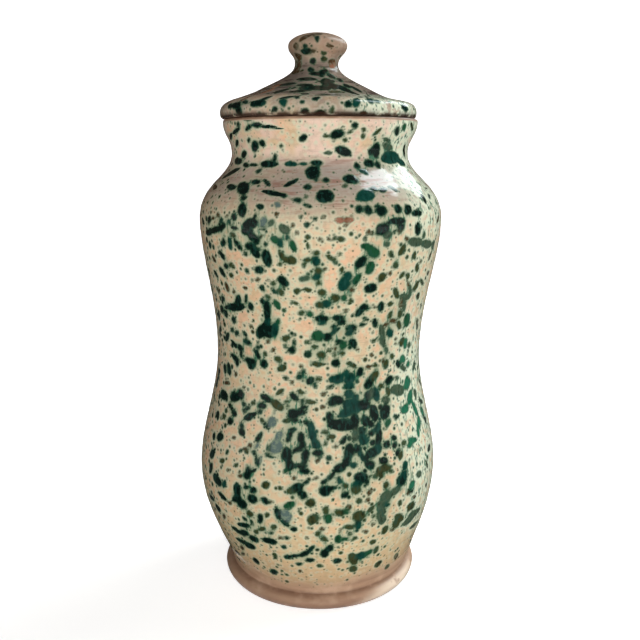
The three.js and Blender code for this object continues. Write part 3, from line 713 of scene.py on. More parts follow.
class ThrownPiece:
    """A turned piece, with what its surface needs for the glaze: places in mm, faces and attributes."""

    def __init__(self, name: str, shell: bmesh.types.BMesh) -> None:
        """Makes the object of a shell.

        Args:
            name: Name of the piece.
            shell: The turned shell, which is used up.
        """
        mesh = bpy.data.meshes.new(name)
        shell.to_mesh(mesh)
        shell.free()
        mesh.shade_smooth()
        self.object = bpy.data.objects.new(name, mesh)
        bpy.context.scene.collection.objects.link(self.object)
        self.mesh = mesh
        count = len(mesh.vertices)
        places = np.empty(count * 3)
        mesh.vertices.foreach_get("co", places)
        self.places = places.reshape(-1, 3) / MM
        faces = np.empty(count, dtype=np.int32)
        mesh.attributes["face"].data.foreach_get("value", faces)
        self.faces = faces
        mesh.attributes.remove(mesh.attributes["face"])

    @property
    def angles(self) -> np.ndarray:
        """The angle of each vertex about the axis, from the right towards the back, in radians."""
        return np.arctan2(self.places[:, 1], self.places[:, 0])

    def on(self, face: Face) -> np.ndarray:
        """Which vertices lie on a face, as a mask."""
        return self.faces == face.value

    def keep(self) -> None:
        """Writes the moved places back to the mesh."""
        self.mesh.vertices.foreach_set("co", (self.places * MM).ravel())
        self.mesh.update()

    def tree(self) -> BVHTree:
        """The piece's surface, for rays and nearest points."""
        polygons = [tuple(polygon.vertices) for polygon in self.mesh.polygons]
        return BVHTree.FromPolygons([vertex.co.copy() for vertex in self.mesh.vertices], polygons)

    def set_number(self, name: str, values: np.ndarray) -> None:
        """Stores one number for each vertex under a name."""
        attribute = self.mesh.attributes.new(name, "FLOAT", "POINT")
        attribute.data.foreach_set("value", values.astype(np.float32))

    def set_colour(self, name: str, values: np.ndarray) -> None:
        """Stores one colour for each vertex.

        Args:
            name: Name of the attribute.
            values: The colours, three numbers each.
        """
        attribute = self.mesh.attributes.new(name, "FLOAT_COLOR", "POINT")
        rows = np.ones((len(values), 4), dtype=np.float32)
        rows[:, :3] = values
        attribute.data.foreach_set("color", rows.ravel())


@dataclass(frozen=True)
class Zone:
    """A stretch of a piece, whose side away from the camera is spattered.

    Attributes:
        low: Lowest level, in mm.
        high: Highest level, in mm.
        radius: Radius that contains it, in mm.
        share: Share of all the unseen splashes that it takes.
        away_cosine: Cosine by which a splash's place has to face away from the lens.
        largest: Width of the largest splash, in mm.
    """

    low: float
    high: float
    radius: float
    share: float
    away_cosine: float
    largest: float


@dataclass
class Spatter:
    """The green splashes: those that the photograph shows, and as many on the side that it doesn't.

    Attributes:
        view: The camera of the photograph.
        seed: Seed of the unseen side.
        rim_cosine: Least cosine to the lens at which a dab still spreads as it looks.
        stretch: Most that a splash near the outline is lengthened.
        spread: How far the green has run past the dark of a dab on every side, in pixels.
        singles: Splashes by themselves on the unseen side.
        smallest: Width of the smallest of them, in mm.
        rarer: How fast larger ones get rarer, per mm.
        fine: Width below which they take the colours of the fine ones, in mm.
        fine_tints: Colours of the fine ones.
        heavy_tints: Colours of the others.
        clusters: Groups of splashes that run together on the unseen side.
        group: Least and most splashes in a group.
        group_widths: Least and most width of a splash in a group, in mm.
        group_turn: Scatter of a group round the jar, in radians.
        group_rise: Scatter of a group up the jar, in mm.
        lean: Scatter of a splash's length from upright, in radians.
        lengths: Least and most length of an unseen splash, against its width.
        lobes: Most lobes that a splash puts out.
        small: Product of the half sides below which a splash puts out one lobe, in mm2.
        lobe_sizes: Least and most size of a lobe, against its splash.
        lobe_places: Least and most distance of a lobe from the middle, against the splash's border.
        lobe_share: Share of the lobes that touch their splash, where the others are drops beside it.
        drop_places: Least and most distance of a drop from the middle.
        drop_size: Size of a drop against a lobe.
        reach: Distance over which a splash is felt, in mm.
        blend: Distance over which two splashes flow together, in mm.
        deepest: Depth past which a splash's colour pulls no harder, in mm.
        tint_reach: Distance over which that pull grows, in mm.
        far: Colour of the specks away from any splash.
        far_weight: Pull of that colour, against 1 at the border of a splash.
        heavy: Product of the half sides of a splash that stains the glaze around it in full, in mm2.
        stain_reach: Distance over which that stain fades, in mm.
    """

    view: Viewpoint
    seed: int = 11
    rim_cosine: float = 0.13
    stretch: float = 2.2
    spread: float = 0.12
    singles: int = 860
    smallest: float = 2.2
    rarer: float = 0.62
    fine: float = 2.9
    fine_tints: tuple[Tint, ...] = (Tint.OLIVE, Tint.BROWN, Tint.DEEP, Tint.OLIVE)
    heavy_tints: tuple[Tint, ...] = (Tint.DEEP, Tint.DEEP, Tint.TEAL, Tint.GREEN, Tint.DEEP, Tint.OLIVE)
    clusters: int = 120
    group: tuple[int, int] = (3, 8)
    group_widths: Pair = (3.2, 6.8)
    group_turn: float = 0.07
    group_rise: float = 6.0
    lean: float = 0.7
    lengths: Pair = (1.0, 2.1)
    lobes: int = 2
    small: float = 9.0
    lobe_sizes: Pair = (0.26, 0.48)
    lobe_places: Pair = (0.55, 1.0)
    lobe_share: float = 0.75
    drop_places: Pair = (1.25, 1.7)
    drop_size: float = 0.6
    reach: float = 9.0
    blend: float = 0.45
    deepest: float = 3.0
    tint_reach: float = 0.5
    far: Tint = Tint.OLIVE
    far_weight: float = 0.01
    heavy: float = 4.0
    stain_reach: float = 2.2

    def seen(self, trees: Sequence[BVHTree]) -> list[list[Splash]]:
        """Throws the photograph's dabs at the pieces.

        Args:
            trees: The surface of each piece.

        Returns:
            The splashes on each piece.
        """
        landed: list[list[Splash]] = [[] for _ in trees]
        for tint, dabs in DABS.items():
            for dab in dabs:
                ray = self.view.ray(dab.x, dab.y)
                hits = [tree.ray_cast(self.view.lens, ray) for tree in trees]
                reached = [index for index, hit in enumerate(hits) if hit[0] is not None]
                if not reached:
                    log.warning("no clay behind the dab at %s, %s", dab.x, dab.y)
                    continue
                piece = min(reached, key=lambda index: hits[index][3])
                landed[piece].append(self.lay(dab, tint, hits[piece][0], hits[piece][1]))
        return landed

    def lay(self, dab: Dab, tint: Tint, place: Vector, outward: Vector) -> Splash:
        """Lays a dab of the photograph flat on the surface that it lands on.

        Args:
            dab: The dab.
            tint: Its colour.
            place: Where it lands, in metres.
            outward: Direction that the surface faces there.

        Returns:
            The splash.
        """
        tilt = math.radians(dab.tilt)
        wide = dab.long if dab.wide is None else dab.wide
        depth = (place - self.view.lens).length
        pixel = depth / self.view.focal_pixels
        sides = []
        for size, turn in ((dab.long, tilt), (wide, tilt + math.pi / 2)):
            length = size / 2 + self.spread
            ray = self.view.ray(dab.x + length * math.cos(turn), dab.y - length * math.sin(turn))
            slope = min(ray.dot(outward), -self.rim_cosine)
            side = self.view.lens + ray * ((place - self.view.lens).dot(outward) / slope) - place
            side -= outward * side.dot(outward)
            limit = self.stretch * length * pixel
            if side.length > limit:
                side *= limit / side.length
            sides.append(side)
        return Splash(place, sides[0], sides[1], tint)

    def branch(self, dice: random.Random, splashes: Sequence[Splash]) -> list[Splash]:
        """Gives each splash a few lobes and drops, so that no outline is a plain oval.

        Args:
            dice: The random numbers.
            splashes: The splashes.

        Returns:
            The splashes with their lobes.
        """
        grown = list(splashes)
        for splash in splashes:
            small = splash.along.length * splash.across.length < self.small * MM * MM
            for _ in range(1 if small else dice.randint(1, self.lobes)):
                turn, size = dice.uniform(0.0, FULL_TURN), dice.uniform(*self.lobe_sizes)
                joined = dice.random() < self.lobe_share
                out = dice.uniform(*(self.lobe_places if joined else self.drop_places))
                size *= 1.0 if joined else self.drop_size
                offset = (splash.along * math.cos(turn) + splash.across * math.sin(turn)) * out
                lobe = Splash(splash.middle + offset, splash.along * size, splash.across * size, splash.tint)
                grown.append(lobe)
        return grown

    def unseen(self, dice: random.Random, tree: BVHTree, zone: Zone) -> list[Splash]:
        """Spatters the side of a stretch that the photograph doesn't show.

        Args:
            dice: The random numbers.
            tree: The surface of the piece.
            zone: The stretch.

        Returns:
            The splashes.
        """
        thrown: list[Splash | None] = []
        for _ in range(round(self.singles * zone.share)):
            size = self.smallest + dice.expovariate(self.rarer)
            tint = dice.choice(self.fine_tints if size < self.fine else self.heavy_tints)
            angle, level = dice.uniform(0.0, FULL_TURN), dice.uniform(zone.low, zone.high)
            thrown.append(self.throw(dice, tree, zone, angle, level, size, tint))
        for _ in range(round(self.clusters * zone.share)):
            angle, level = dice.uniform(0.0, FULL_TURN), dice.uniform(zone.low, zone.high)
            for _ in range(dice.randint(*self.group)):
                beside, above = dice.gauss(0.0, self.group_turn), dice.gauss(0.0, self.group_rise)
                size, tint = dice.uniform(*self.group_widths), dice.choice(self.heavy_tints)
                thrown.append(self.throw(dice, tree, zone, angle + beside, level + above, size, tint))
        return [splash for splash in thrown if splash is not None]

    def throw(self, dice: random.Random, tree: BVHTree, zone: Zone, angle: float, level: float, size: float,
              tint: Tint) -> Splash | None:
        """Throws one splash at a stretch of a piece.

        Args:
            dice: The random numbers.
            tree: The surface of the piece.
            zone: The stretch.
            angle: Angle about the axis at which it lands, in radians.
            level: Level at which it lands, in mm.
            size: Its width, in mm.
            tint: Its colour.

        Returns:
            The splash, or None where the photograph shows the place.
        """
        away = Vector((math.cos(angle), math.sin(angle), 0.0))
        start = away * (2 * zone.radius * MM)
        start.z = level * MM
        place, outward, _, _ = tree.ray_cast(start, -away)
        if place is None or self.view.sees(place, outward, -zone.away_cosine):
            return None
        sideways = outward.cross(Vector(UPRIGHT)).normalized()
        upright = outward.cross(sideways)
        lean = dice.gauss(0.0, self.lean)
        half = min(size, zone.largest) * MM / 2
        along = (upright * math.cos(lean) + sideways * math.sin(lean)) * (half * dice.uniform(*self.lengths))
        return Splash(place, along, outward.cross(along).normalized() * half, tint)

    def mark(self, piece: ThrownPiece, splashes: Iterable[Splash]) -> None:
        """Stores how far each vertex lies in a splash, its colour and how thick splashes lie round it.

        Args:
            piece: The piece.
            splashes: The splashes on it.
        """
        open_face = np.flatnonzero(piece.on(Face.SPATTERED))
        open_face = open_face[np.argsort(piece.places[open_face, 2], kind="stable")]
        places = piece.places[open_face]
        edge = np.full(len(places), -self.reach)
        weight = np.full(len(places), self.far_weight)
        colour = np.array(self.far.value) * weight[:, None]
        crowd = np.zeros(len(places))
        for splash in splashes:
            middle = np.array(splash.middle) / MM
            along, across = np.array(splash.along) / MM, np.array(splash.across) / MM
            grasp = self.reach + max(float(np.linalg.norm(along)), float(np.linalg.norm(across)))
            first, last = np.searchsorted(places[:, 2], (middle[2] - grasp, middle[2] + grasp))
            offset = places[first:last] - middle
            close = np.flatnonzero((offset * offset).sum(1) < grasp ** 2)
            near, offset = close + first, offset[close]
            inside = self.depth(offset, along, across)
            edge[near] = self.flow(edge[near], inside)
            pull = np.exp(np.clip(inside, -self.reach, self.deepest) / self.tint_reach)
            weight[near] += pull
            colour[near] += pull[:, None] * np.array(splash.tint.value)
            bulk = min(1.0, float(np.linalg.norm(along) * np.linalg.norm(across)) / self.heavy)
            crowd[near] += bulk * np.exp(np.clip(inside, -self.reach, 0.0) / self.stain_reach)
        whole = np.full(len(piece.places), -self.reach)
        whole[open_face] = edge
        piece.set_number(EDGE, whole)
        whole = np.zeros(len(piece.places))
        whole[open_face] = crowd
        piece.set_number(CROWD, whole)
        colours = np.tile(np.array(self.far.value), (len(piece.places), 1))
        colours[open_face] = colour / weight[:, None]
        piece.set_colour(TINT, colours)

    @staticmethod
    def depth(offset: np.ndarray, along: np.ndarray, across: np.ndarray) -> np.ndarray:
        """How far points lie inside an oval, in mm: below zero outside it.

        Args:
            offset: The points, from its middle.
            along: Half its length, as a vector.
            across: Half its width, as a vector.

        Returns:
            The depths.
        """
        gram = np.array(((along @ along, along @ across), (along @ across, across @ across)))
        shares = offset @ np.column_stack((along, across)) @ np.linalg.inv(gram)
        least = 1e-3
        ring = np.maximum(np.sqrt((shares * shares).sum(1)), least)
        distance = np.maximum(np.sqrt((offset * offset).sum(1)), least)
        border = distance / ring
        return np.where(ring < 1.0, border * (1.0 - ring * ring) / 2, border - distance)

    def flow(self, first: np.ndarray, second: np.ndarray) -> np.ndarray:
        """The larger of two depths, rounded where they are nearly the same."""
        near = np.maximum(self.blend - np.abs(first - second), 0.0) / self.blend
        return np.maximum(first, second) + near * near * self.blend / 4


Value = Any


class Shade:
    """A socket of a node tree, whose arithmetic adds Math nodes."""

    def __init__(self, bench: "Bench", socket: bpy.types.NodeSocket) -> None:
        """Wraps a socket of a bench's tree."""
        self.bench = bench
        self.socket = socket

    def _with(self, operation: str, first: Value, second: Value) -> "Shade":
        """Adds a Math node on two values."""
        return self.bench.node("ShaderNodeMath", {"operation": operation}, {0: first, 1: second})

    def __add__(self, other: Value) -> "Shade":
        """The sum."""
        return self._with("ADD", self, other)

    __radd__ = __add__

    def __sub__(self, other: Value) -> "Shade":
        """The difference."""
        return self._with("SUBTRACT", self, other)

    def __rsub__(self, other: Value) -> "Shade":
        """The difference, with this one taken away."""
        return self._with("SUBTRACT", other, self)

    def __mul__(self, other: Value) -> "Shade":
        """The product."""
        return self._with("MULTIPLY", self, other)

    __rmul__ = __mul__

    def at_least(self, other: Value) -> "Shade":
        """The larger of the two."""
        return self._with("MAXIMUM", self, other)

    def at_most(self, other: Value) -> "Shade":
        """The smaller of the two."""
        return self._with("MINIMUM", self, other)


class Bench:
    """The node tree of one material or of the room, and the few ways in which nodes are added to it."""

    def __init__(self, owner: bpy.types.Material | bpy.types.World, output: str = "Material") -> None:
        """Clears the tree and starts from an output.

        Args:
            owner: The material or the world.
            output: Kind of the output.
        """
        owner.use_nodes = True
        self.tree = owner.node_tree
        self.tree.nodes.clear()
        self.output = self.tree.nodes.new("ShaderNodeOutput" + output)

    def node(self, kind: str, settings: dict[str, Any] | None = None, inputs: dict[Any, Value] | None = None,
             result: int | str = 0) -> Shade:
        """Adds a node.

        Args:
            kind: Type of the node.
            settings: Its properties, which are set first.
            inputs: Values or links of its sockets, by name or number.
            result: Name or number of the socket that it returns.

        Returns:
            The output socket.
        """
        node = self.tree.nodes.new(kind)
        for name, setting in (settings or {}).items():
            setattr(node, name, setting)
        for name, value in (inputs or {}).items():
            self.feed(node.inputs[name], value)
        return Shade(self, node.outputs[result])

    def feed(self, socket: bpy.types.NodeSocket, value: Value) -> None:
        """Links or sets a socket.

        Args:
            socket: The input socket.
            value: A shade, a number or a colour.
        """
        if isinstance(value, Shade):
            self.tree.links.new(value.socket, socket)
        elif isinstance(value, tuple) and socket.type == "RGBA":
            socket.default_value = (*value, 1.0)
        else:
            socket.default_value = value

    def place(self, kind: str = "Object") -> Shade:
        """The place on the piece, in metres, or another coordinate."""
        return self.node("ShaderNodeTexCoord", result=kind)

    def number(self, name: str) -> Shade:
        """A number stored on the piece."""
        return self.node("ShaderNodeAttribute", {"attribute_name": name}, result="Fac")

    def colour(self, name: str) -> Shade:
        """A colour stored on the piece."""
        return self.node("ShaderNodeAttribute", {"attribute_name": name}, result="Color")

    def stretched(self, place: Shade, scale: Triple, shift: Triple) -> Shade:
        """The place with its axes scaled, then shifted in metres."""
        return self.node("ShaderNodeMapping", None, {"Vector": place, "Location": shift, "Scale": scale})

    def height(self, place: Shade) -> Shade:
        """The level of a place, in metres."""
        return self.node("ShaderNodeSeparateXYZ", None, {0: place}, "Z")

    def noise(self, place: Shade, grain: float, detail: float = 2.0, roughness: float = 0.5) -> Shade:
        """Soft noise from 0 to 1, with the size of its patches in mm."""
        return self.node("ShaderNodeTexNoise", None, {
            "Vector": place, "Scale": 1.0 / (grain * MM), "Detail": detail, "Roughness": roughness})

    def rise(self, value: Value, low: float, high: float, share: float = 1.0) -> Shade:
        """A smooth rise from nothing, where a value is low, to a share, where it is high."""
        return self.node("ShaderNodeMapRange", {"interpolation_type": "SMOOTHSTEP"}, {
            "Value": value, "From Min": low, "From Max": high, "To Max": share})

    def patches(self, place: Shade, grain: float, low: float, high: float, share: float = 1.0,
                detail: float = 2.0, roughness: float = 0.5) -> Shade:
        """Cloudy patches: nothing where their noise is low, a share where it is high."""
        return self.rise(self.noise(place, grain, detail, roughness), low, high, share)

    def mix(self, share: Value, first: Value, second: Value) -> Shade:
        """A colour between two, by the share of the second."""
        inputs = {0: share, FIRST_COLOUR: first, SECOND_COLOUR: second}
        return self.node("ShaderNodeMix", {"data_type": "RGBA"}, inputs, MIXED_COLOUR)

    def bump(self, height: Shade, distance: float) -> Shade:
        """A normal from a height, where 1 stands for a distance in mm."""
        inputs = {"Height": height, "Distance": distance * MM, "Strength": 1.0}
        return self.node("ShaderNodeBump", None, inputs)

    def finish(self, shader: Shade) -> None:
        """Links a shader to the output."""
        self.tree.links.new(shader.socket, self.output.inputs["Surface"])


@dataclass(frozen=True)
class SpatterGlaze:
    """Cream glaze that breaks to peach, spattered with green, and running out thin over tan clay.

    Attributes:
        name: Name of the material.
        cream: Colour of the glaze beside the splashes.
        mint: Colour of the glaze that the green has bled into.
        wash: Colour of the thinnest green, just outside a splash.
        rim: Colour of the green at the rim of a splash, where it is thin.
        pool: Colour of the paler patches inside a splash.
        stained: Colour of the glaze where splashes lie thick around it.
        pale: Colour of the glaze where the green has bled away from it; on the lit right side it also paints
            the window's sheen.
        thread: Colour of the fine threads of green where it has bled.
        peach: Colour of the glaze where it is thin.
        slope_grey_and_shade: Colour of the glaze on the slopes of the shoulder and the lid, partly greyer
            glaze and partly painted shade and dim reflection.
        blush: Colour of the glaze on the neck.
        rose: Colour of the thin rings that the throwing left.
        dusk: Colour of the fine darker clouds in the cream.
        straw: Yellow stain in the cream.
        tan: Colour of the glaze where it runs out over the foot.
        lining: Colour of the plain glaze inside.
        clay: Colour of the bare clay.
        clay_dark: Its darker patches.
        clay_pale: Its paler patches.
        lit_patch_colour: Colour of the painted patch of window light on the front right of the foot's roll.
        rust_and_shade: Colour of the edges where the glaze has drawn back, also used as painted shade in the
            crease and under edges.
        shift: Shift of the noise, in metres, so that two pieces differ.
        halo: Share of the bled colour right beside a splash.
        halo_ruffle: How far noise pushes the border of that colour out, in mm.
        sheen: Strength of the reflections, where 0.5 is plain glass.
        along_wheel: Scale of the noise in the rings that the wheel left.
        upright: Scale of the noise in the streaks inside a splash.
        drawn_out: Scale of the noise in the threads of green.
        speck_sizes: Distance between the specks and radius of the largest, in mm, for two sizes of speck.
        finest: The same for the finest specks, which leave no relief.
        left_out_depth: How far under the surface a speck that is left out lies, in mm.
        ruffle: How far coarse and fine noise push a splash's border out, and how far it is drawn in, in mm.
        rim_share: Share of the rim's colour at the rim of a splash.
        wave: Height of the waves in the line where the glaze runs out, in mm.
        low_foot_shade: Share of the darker clay painted as shade on the lower half of the foot's roll.
        on_slope: Share of the slopes' colour, which is partly painted shade.
        slope_rings: How much more often a throwing ring shows on a slope.
        coarse_rings: Strength of the coarse rings, and how much stronger they are on a slope.
        fine_rings: The same for the fine ones.
        bled_and_sheen_halo: How much the bled colour gains where the green has bled and the window's sheen is
            painted.
        off_slope: How much of the bled colour is missing on a slope.
        crowding: Share of the stain between thick splashes, and what it loses where bled and on a slope.
        smooth: Roughness of the glaze, and how much more it is in places.
        dry: Roughness of the bare clay.
        dab_height: Height of a splash over the glaze.
        ripple: Height of the glaze's waves.
        glaze_height: Height of the glaze over the clay.
        grooves: Height of the throwing rings in bare clay and under the glaze.
        relief: Depth that a height of 1 stands for, in mm.
    """

    name: str
    cream: Colour = (0.820, 0.650, 0.430)
    mint: Colour = (0.740, 0.770, 0.580)
    wash: Colour = (0.130, 0.230, 0.130)
    rim: Colour = (0.030, 0.110, 0.062)
    pool: Colour = (0.018, 0.088, 0.066)
    stained: Colour = (0.300, 0.400, 0.265)
    pale: Colour = (0.840, 0.920, 0.740)
    thread: Colour = (0.025, 0.170, 0.095)
    peach: Colour = (0.900, 0.600, 0.390)
    slope_grey_and_shade: Colour = (0.370, 0.340, 0.310)
    blush: Colour = (0.920, 0.700, 0.590)
    rose: Colour = (0.360, 0.190, 0.145)
    dusk: Colour = (0.500, 0.380, 0.230)
    straw: Colour = (0.720, 0.570, 0.320)
    tan: Colour = (0.620, 0.430, 0.255)
    lining: Colour = (0.620, 0.530, 0.390)
    clay: Colour = (0.530, 0.345, 0.235)
    clay_dark: Colour = (0.350, 0.205, 0.140)
    clay_pale: Colour = (0.680, 0.480, 0.345)
    lit_patch_colour: Colour = (0.950, 0.790, 0.640)
    rust_and_shade: Colour = (0.150, 0.075, 0.045)
    shift: Triple = (0.0, 0.0, 0.0)
    halo: float = 0.64
    halo_ruffle: float = 1.2
    sheen: float = 0.38
    along_wheel: Triple = (0.10, 0.10, 1.0)
    upright: Triple = (1.0, 1.0, 0.45)
    drawn_out: Triple = (1.0, 1.0, 0.28)
    speck_sizes: tuple[Pair, Pair] = ((4.7, 1.45), (3.1, 0.95))
    finest: Pair = (2.2, 0.52)
    left_out_depth: float = 3.0
    ruffle: Triple = (1.4, 0.9, 1.18)
    rim_share: float = 0.60
    wave: float = 5.0
    low_foot_shade: float = 0.85
    on_slope: float = 0.8
    slope_rings: float = 0.05
    coarse_rings: Pair = (0.22, 0.6)
    fine_rings: Pair = (0.12, 0.4)
    bled_and_sheen_halo: float = 0.30
    off_slope: float = 0.85
    crowding: Triple = (0.65, 0.45, 0.5)
    smooth: Pair = (0.07, 0.08)
    dry: float = 0.46
    dab_height: float = 0.55
    ripple: float = 0.5
    glaze_height: float = 0.3
    grooves: Pair = (0.36, 0.12)
    relief: float = 0.16

    def build(self) -> bpy.types.Material:
        """Makes the material.

        Returns:
            The material.
        """
        material = bpy.data.materials.new(self.name)
        bench = Bench(material)
        place = bench.stretched(bench.place(), (1.0, 1.0, 1.0), self.shift)
        ring_place = bench.stretched(place, self.along_wheel, self.shift)
        coarse, fine, drawn_in = self.ruffle
        ragged = bench.noise(place, grain=4.2, detail=1.0) * coarse
        ragged = ragged + bench.noise(place, grain=1.5) * fine - drawn_in
        ragged = bench.number(EDGE) + ragged + bench.number(RUN)
        wide, close = (self.specks(bench, place, *sizes) for sizes in self.speck_sizes)
        edge = ragged.at_least(wide.at_least(close))
        spotted = edge.at_least(self.specks(bench, place, *self.finest))

        reach = bench.number(REACH)
        waves = bench.noise(place, grain=9.0, detail=3.0) * self.wave - self.wave / 2
        covered = bench.rise(reach + waves, low=-4.0, high=9.0)
        clay = self.bare_clay(bench, place, ring_place)
        ground = bench.mix(covered, clay, self.ground(bench, place, ring_place, edge))
        ground = bench.mix(bench.number(LINING), ground, self.lining)
        green = bench.rise(spotted, low=-0.65, high=0.42) * bench.rise(reach, low=-5.5, high=-3.5)
        colour = bench.mix(green, ground, self.green(bench, place, spotted))
        # darkens worn edges, and paints the shade in the crease, under the roll and under the lid's edge
        wear_and_shade = bench.number(EDGE_WEAR_AND_SHADE) * bench.patches(place, grain=6.0, low=0.26, high=0.50, detail=3.0)
        colour = bench.mix(wear_and_shade, colour, self.rust_and_shade)

        least, more = self.smooth
        rough = self.dry - covered * self.dry + covered * (least + bench.noise(place, grain=7.0) * more)
        in_clay, in_glaze = self.grooves
        glazed = bench.rise(edge, low=-0.5, high=0.9, share=self.dab_height)
        glazed = glazed + bench.noise(place, grain=5.0) * self.ripple
        turned = bench.noise(ring_place, grain=1.3, detail=3.0) * (in_clay - covered * (in_clay - in_glaze))
        height = glazed * covered + turned + covered * self.glaze_height
        bench.finish(bench.node("ShaderNodeBsdfPrincipled", None, {
            "Base Color": colour, "Roughness": rough, "Normal": bench.bump(height, self.relief),
            "IOR": 1.5, "Specular IOR Level": self.sheen}))
        return material

    def bare_clay(self, bench: Bench, place: Shade, ring_place: Shade) -> Shade:
        """The colour of the clay, with its rings and patches, painted shade low on the foot and a painted
        patch of light.

        Args:
            bench: The material's nodes.
            place: The place.
            ring_place: The place, drawn out round the jar.

        Returns:
            The colour.
        """
        rings = bench.patches(ring_place, grain=5.0, low=0.40, high=0.75, share=0.8, detail=3.0,
                              roughness=0.6)
        pale = bench.patches(place, grain=16.0, low=0.46, high=0.70, share=0.8, detail=3.0, roughness=0.6)
        grit = bench.patches(place, grain=1.1, low=0.62, high=0.8, share=0.3)
        clay = bench.mix(rings, self.clay, self.clay_dark)
        clay = bench.mix(pale, clay, self.clay_pale)
        clay = bench.mix(grit, clay, self.clay_dark)
        # painted shade on the lower half of the foot's roll
        clay = bench.mix(bench.number(FOOT_SHADE) * self.low_foot_shade, clay, self.clay_dark)
        # a painted patch of window light on the foot's roll
        lit_share = bench.number(FOOT_LIGHT_PATCH) * bench.patches(place, grain=6.0, low=0.20, high=0.42)
        return bench.mix(lit_share, clay, self.lit_patch_colour)

    def green(self, bench: Bench, place: Shade, spotted: Shade) -> Shade:
        """The colour of the green: streaked where it lies thick, thin at the rim of a splash.

        Args:
            bench: The material's nodes.
            place: The place.
            spotted: Depth inside the nearest splash or speck, in mm.

        Returns:
            The colour.
        """
        tint = bench.colour(TINT)
        glassy = 1.0 - bench.rise(bench.node("ShaderNodeSeparateColor", None, {0: tint}), low=0.05, high=0.09)
        streaks = bench.noise(bench.stretched(place, self.upright, self.shift), grain=2.2)
        stain = bench.mix(bench.rise(streaks, low=0.50, high=0.68, share=0.50) * glassy, tint, self.pool)
        dark = bench.rise(streaks, low=0.48, high=0.30, share=0.60) * glassy
        stain = bench.mix(dark, stain, Tint.DEEP.value)
        clouds = bench.patches(place, grain=2.6, low=0.46, high=0.66, share=0.55, detail=3.0, roughness=0.6)
        stain = bench.mix((1.0 - glassy) * clouds, stain, self.stained)
        thin = bench.mix(glassy * self.rim_share, stain, self.rim)
        return bench.mix(bench.rise(spotted, low=-0.20, high=1.00), thin, stain)

    def ground(self, bench: Bench, place: Shade, ring_place: Shade, edge: Shade) -> Shade:
        """The colour of the glaze between the splashes.

        Args:
            bench: The material's nodes.
            place: The place.
            ring_place: The place, drawn out round the jar.
            edge: Depth inside the nearest splash, in mm.

        Returns:
            The colour.
        """
        slope, height = bench.number(SLOPE), bench.height(place)
        away = bench.rise(edge, low=-1.8, high=-5.0, share=0.45)
        blushed = bench.rise(height, low=0.240, high=0.275, share=0.9)
        clouds = bench.patches(place, grain=3.2, low=0.42, high=0.70, share=0.35, detail=3.0, roughness=0.6)
        rings = bench.noise(ring_place, grain=2.4, detail=3.0, roughness=0.65) + slope * self.slope_rings
        fine_rings = bench.patches(ring_place, grain=0.9, low=0.58, high=0.76, roughness=0.6)
        coarse, fine = self.coarse_rings, self.fine_rings
        layers = (
            (bench.patches(place, grain=22.0, low=0.40, high=0.62), self.peach),
            (away, self.peach),
            (bench.patches(place, grain=10.0, low=0.50, high=0.70, share=0.5), self.straw),
            (bench.rise(height, low=0.110, high=0.045, share=0.6), self.straw),
            (bench.rise(height, low=0.046, high=0.020, share=0.75), self.tan),
            (blushed * bench.patches(place, grain=16.0, low=0.35, high=0.6), self.blush),
            (clouds, self.dusk),
            # the slopes' grey is partly painted shade and dim reflection on upward-facing glaze
            (slope * self.on_slope, self.slope_grey_and_shade),
            (bench.rise(rings, low=0.54, high=0.70) * (coarse[0] + slope * coarse[1]), self.rose),
            (fine_rings * (fine[0] + slope * fine[1]), self.rose),
        )
        ground: Value = self.cream
        for share, colour in layers + self.bled_and_sheen_layers(bench, place, edge):
            ground = bench.mix(share, ground, colour)
        return ground

    def bled_and_sheen_layers(self, bench: Bench, place: Shade, edge: Shade) -> tuple[tuple[Shade, Colour], ...]:
        """The stains that the green has left in the glaze around it, and the painted sheen of the window,
        from the lowest layer up.

        Args:
            bench: The material's nodes.
            place: The place.
            edge: Depth inside the nearest splash, in mm.

        Returns:
            The share and the colour of each stain.
        """
        # bled holds the green's bleed and, on the lit right side, a painted sheen of the window
        bled, slope = bench.number(BLEED_AND_SHEEN), bench.number(SLOPE)
        crowded = bench.rise(bench.number(CROWD), low=0.7, high=2.1)
        beside = bench.rise(edge + bench.noise(place, grain=6.0) * self.halo_ruffle, low=-1.6, high=-0.2)
        halo = beside * (self.halo + bled * self.bled_and_sheen_halo) * (1.0 - slope * self.off_slope)
        above_foot = bench.rise(bench.height(place), low=0.025, high=0.065, share=0.5) + 0.5
        stain, less_bled, less_on_slope = self.crowding
        threads = bench.stretched(place, self.drawn_out, self.shift)
        drawn = bench.patches(threads, grain=1.9, low=0.545, high=0.65, share=0.9) * bled.at_least(crowded)
        return (
            (halo * above_foot, self.mint),
            # this pale layer is also the painted sheen of the window on the right
            (bench.rise(edge, low=-7.0, high=-1.0, share=0.85) * bled, self.pale),
            (crowded * (1.0 - slope * less_on_slope) * (stain - bled * less_bled), self.stained),
            (bench.rise(edge, low=-0.95, high=-0.15, share=0.45), self.wash),
            (drawn * bench.rise(edge, low=-7.0, high=-2.0), self.thread),
        )

    def specks(self, bench: Bench, place: Shade, cell: float, most: float) -> Shade:
        """Fine round specks, as the depth inside the nearest one in mm.

        Args:
            bench: The material's nodes.
            place: The place.
            cell: Distance between specks, in mm.
            most: Radius of the largest speck, in mm.

        Returns:
            The depth, below zero outside a speck.
        """
        settings = {"feature": "F1", "distance": "EUCLIDEAN"}
        inputs = {"Vector": place, "Scale": 1.0 / (cell * MM), "Randomness": 1.0}
        distance = bench.node("ShaderNodeTexVoronoi", settings, inputs, "Distance") * cell
        draw = bench.node("ShaderNodeTexVoronoi", settings, inputs, "Color")
        lot = bench.node("ShaderNodeSeparateColor", None, {0: draw})
        size = bench.rise(lot, low=0.40, high=1.0, share=1.5 * most) * bench.number(SPECKS) - 0.5 * most
        left_out = 1.0 - bench.rise(lot, low=0.40, high=0.55)
        return size - distance - left_out * self.left_out_depth


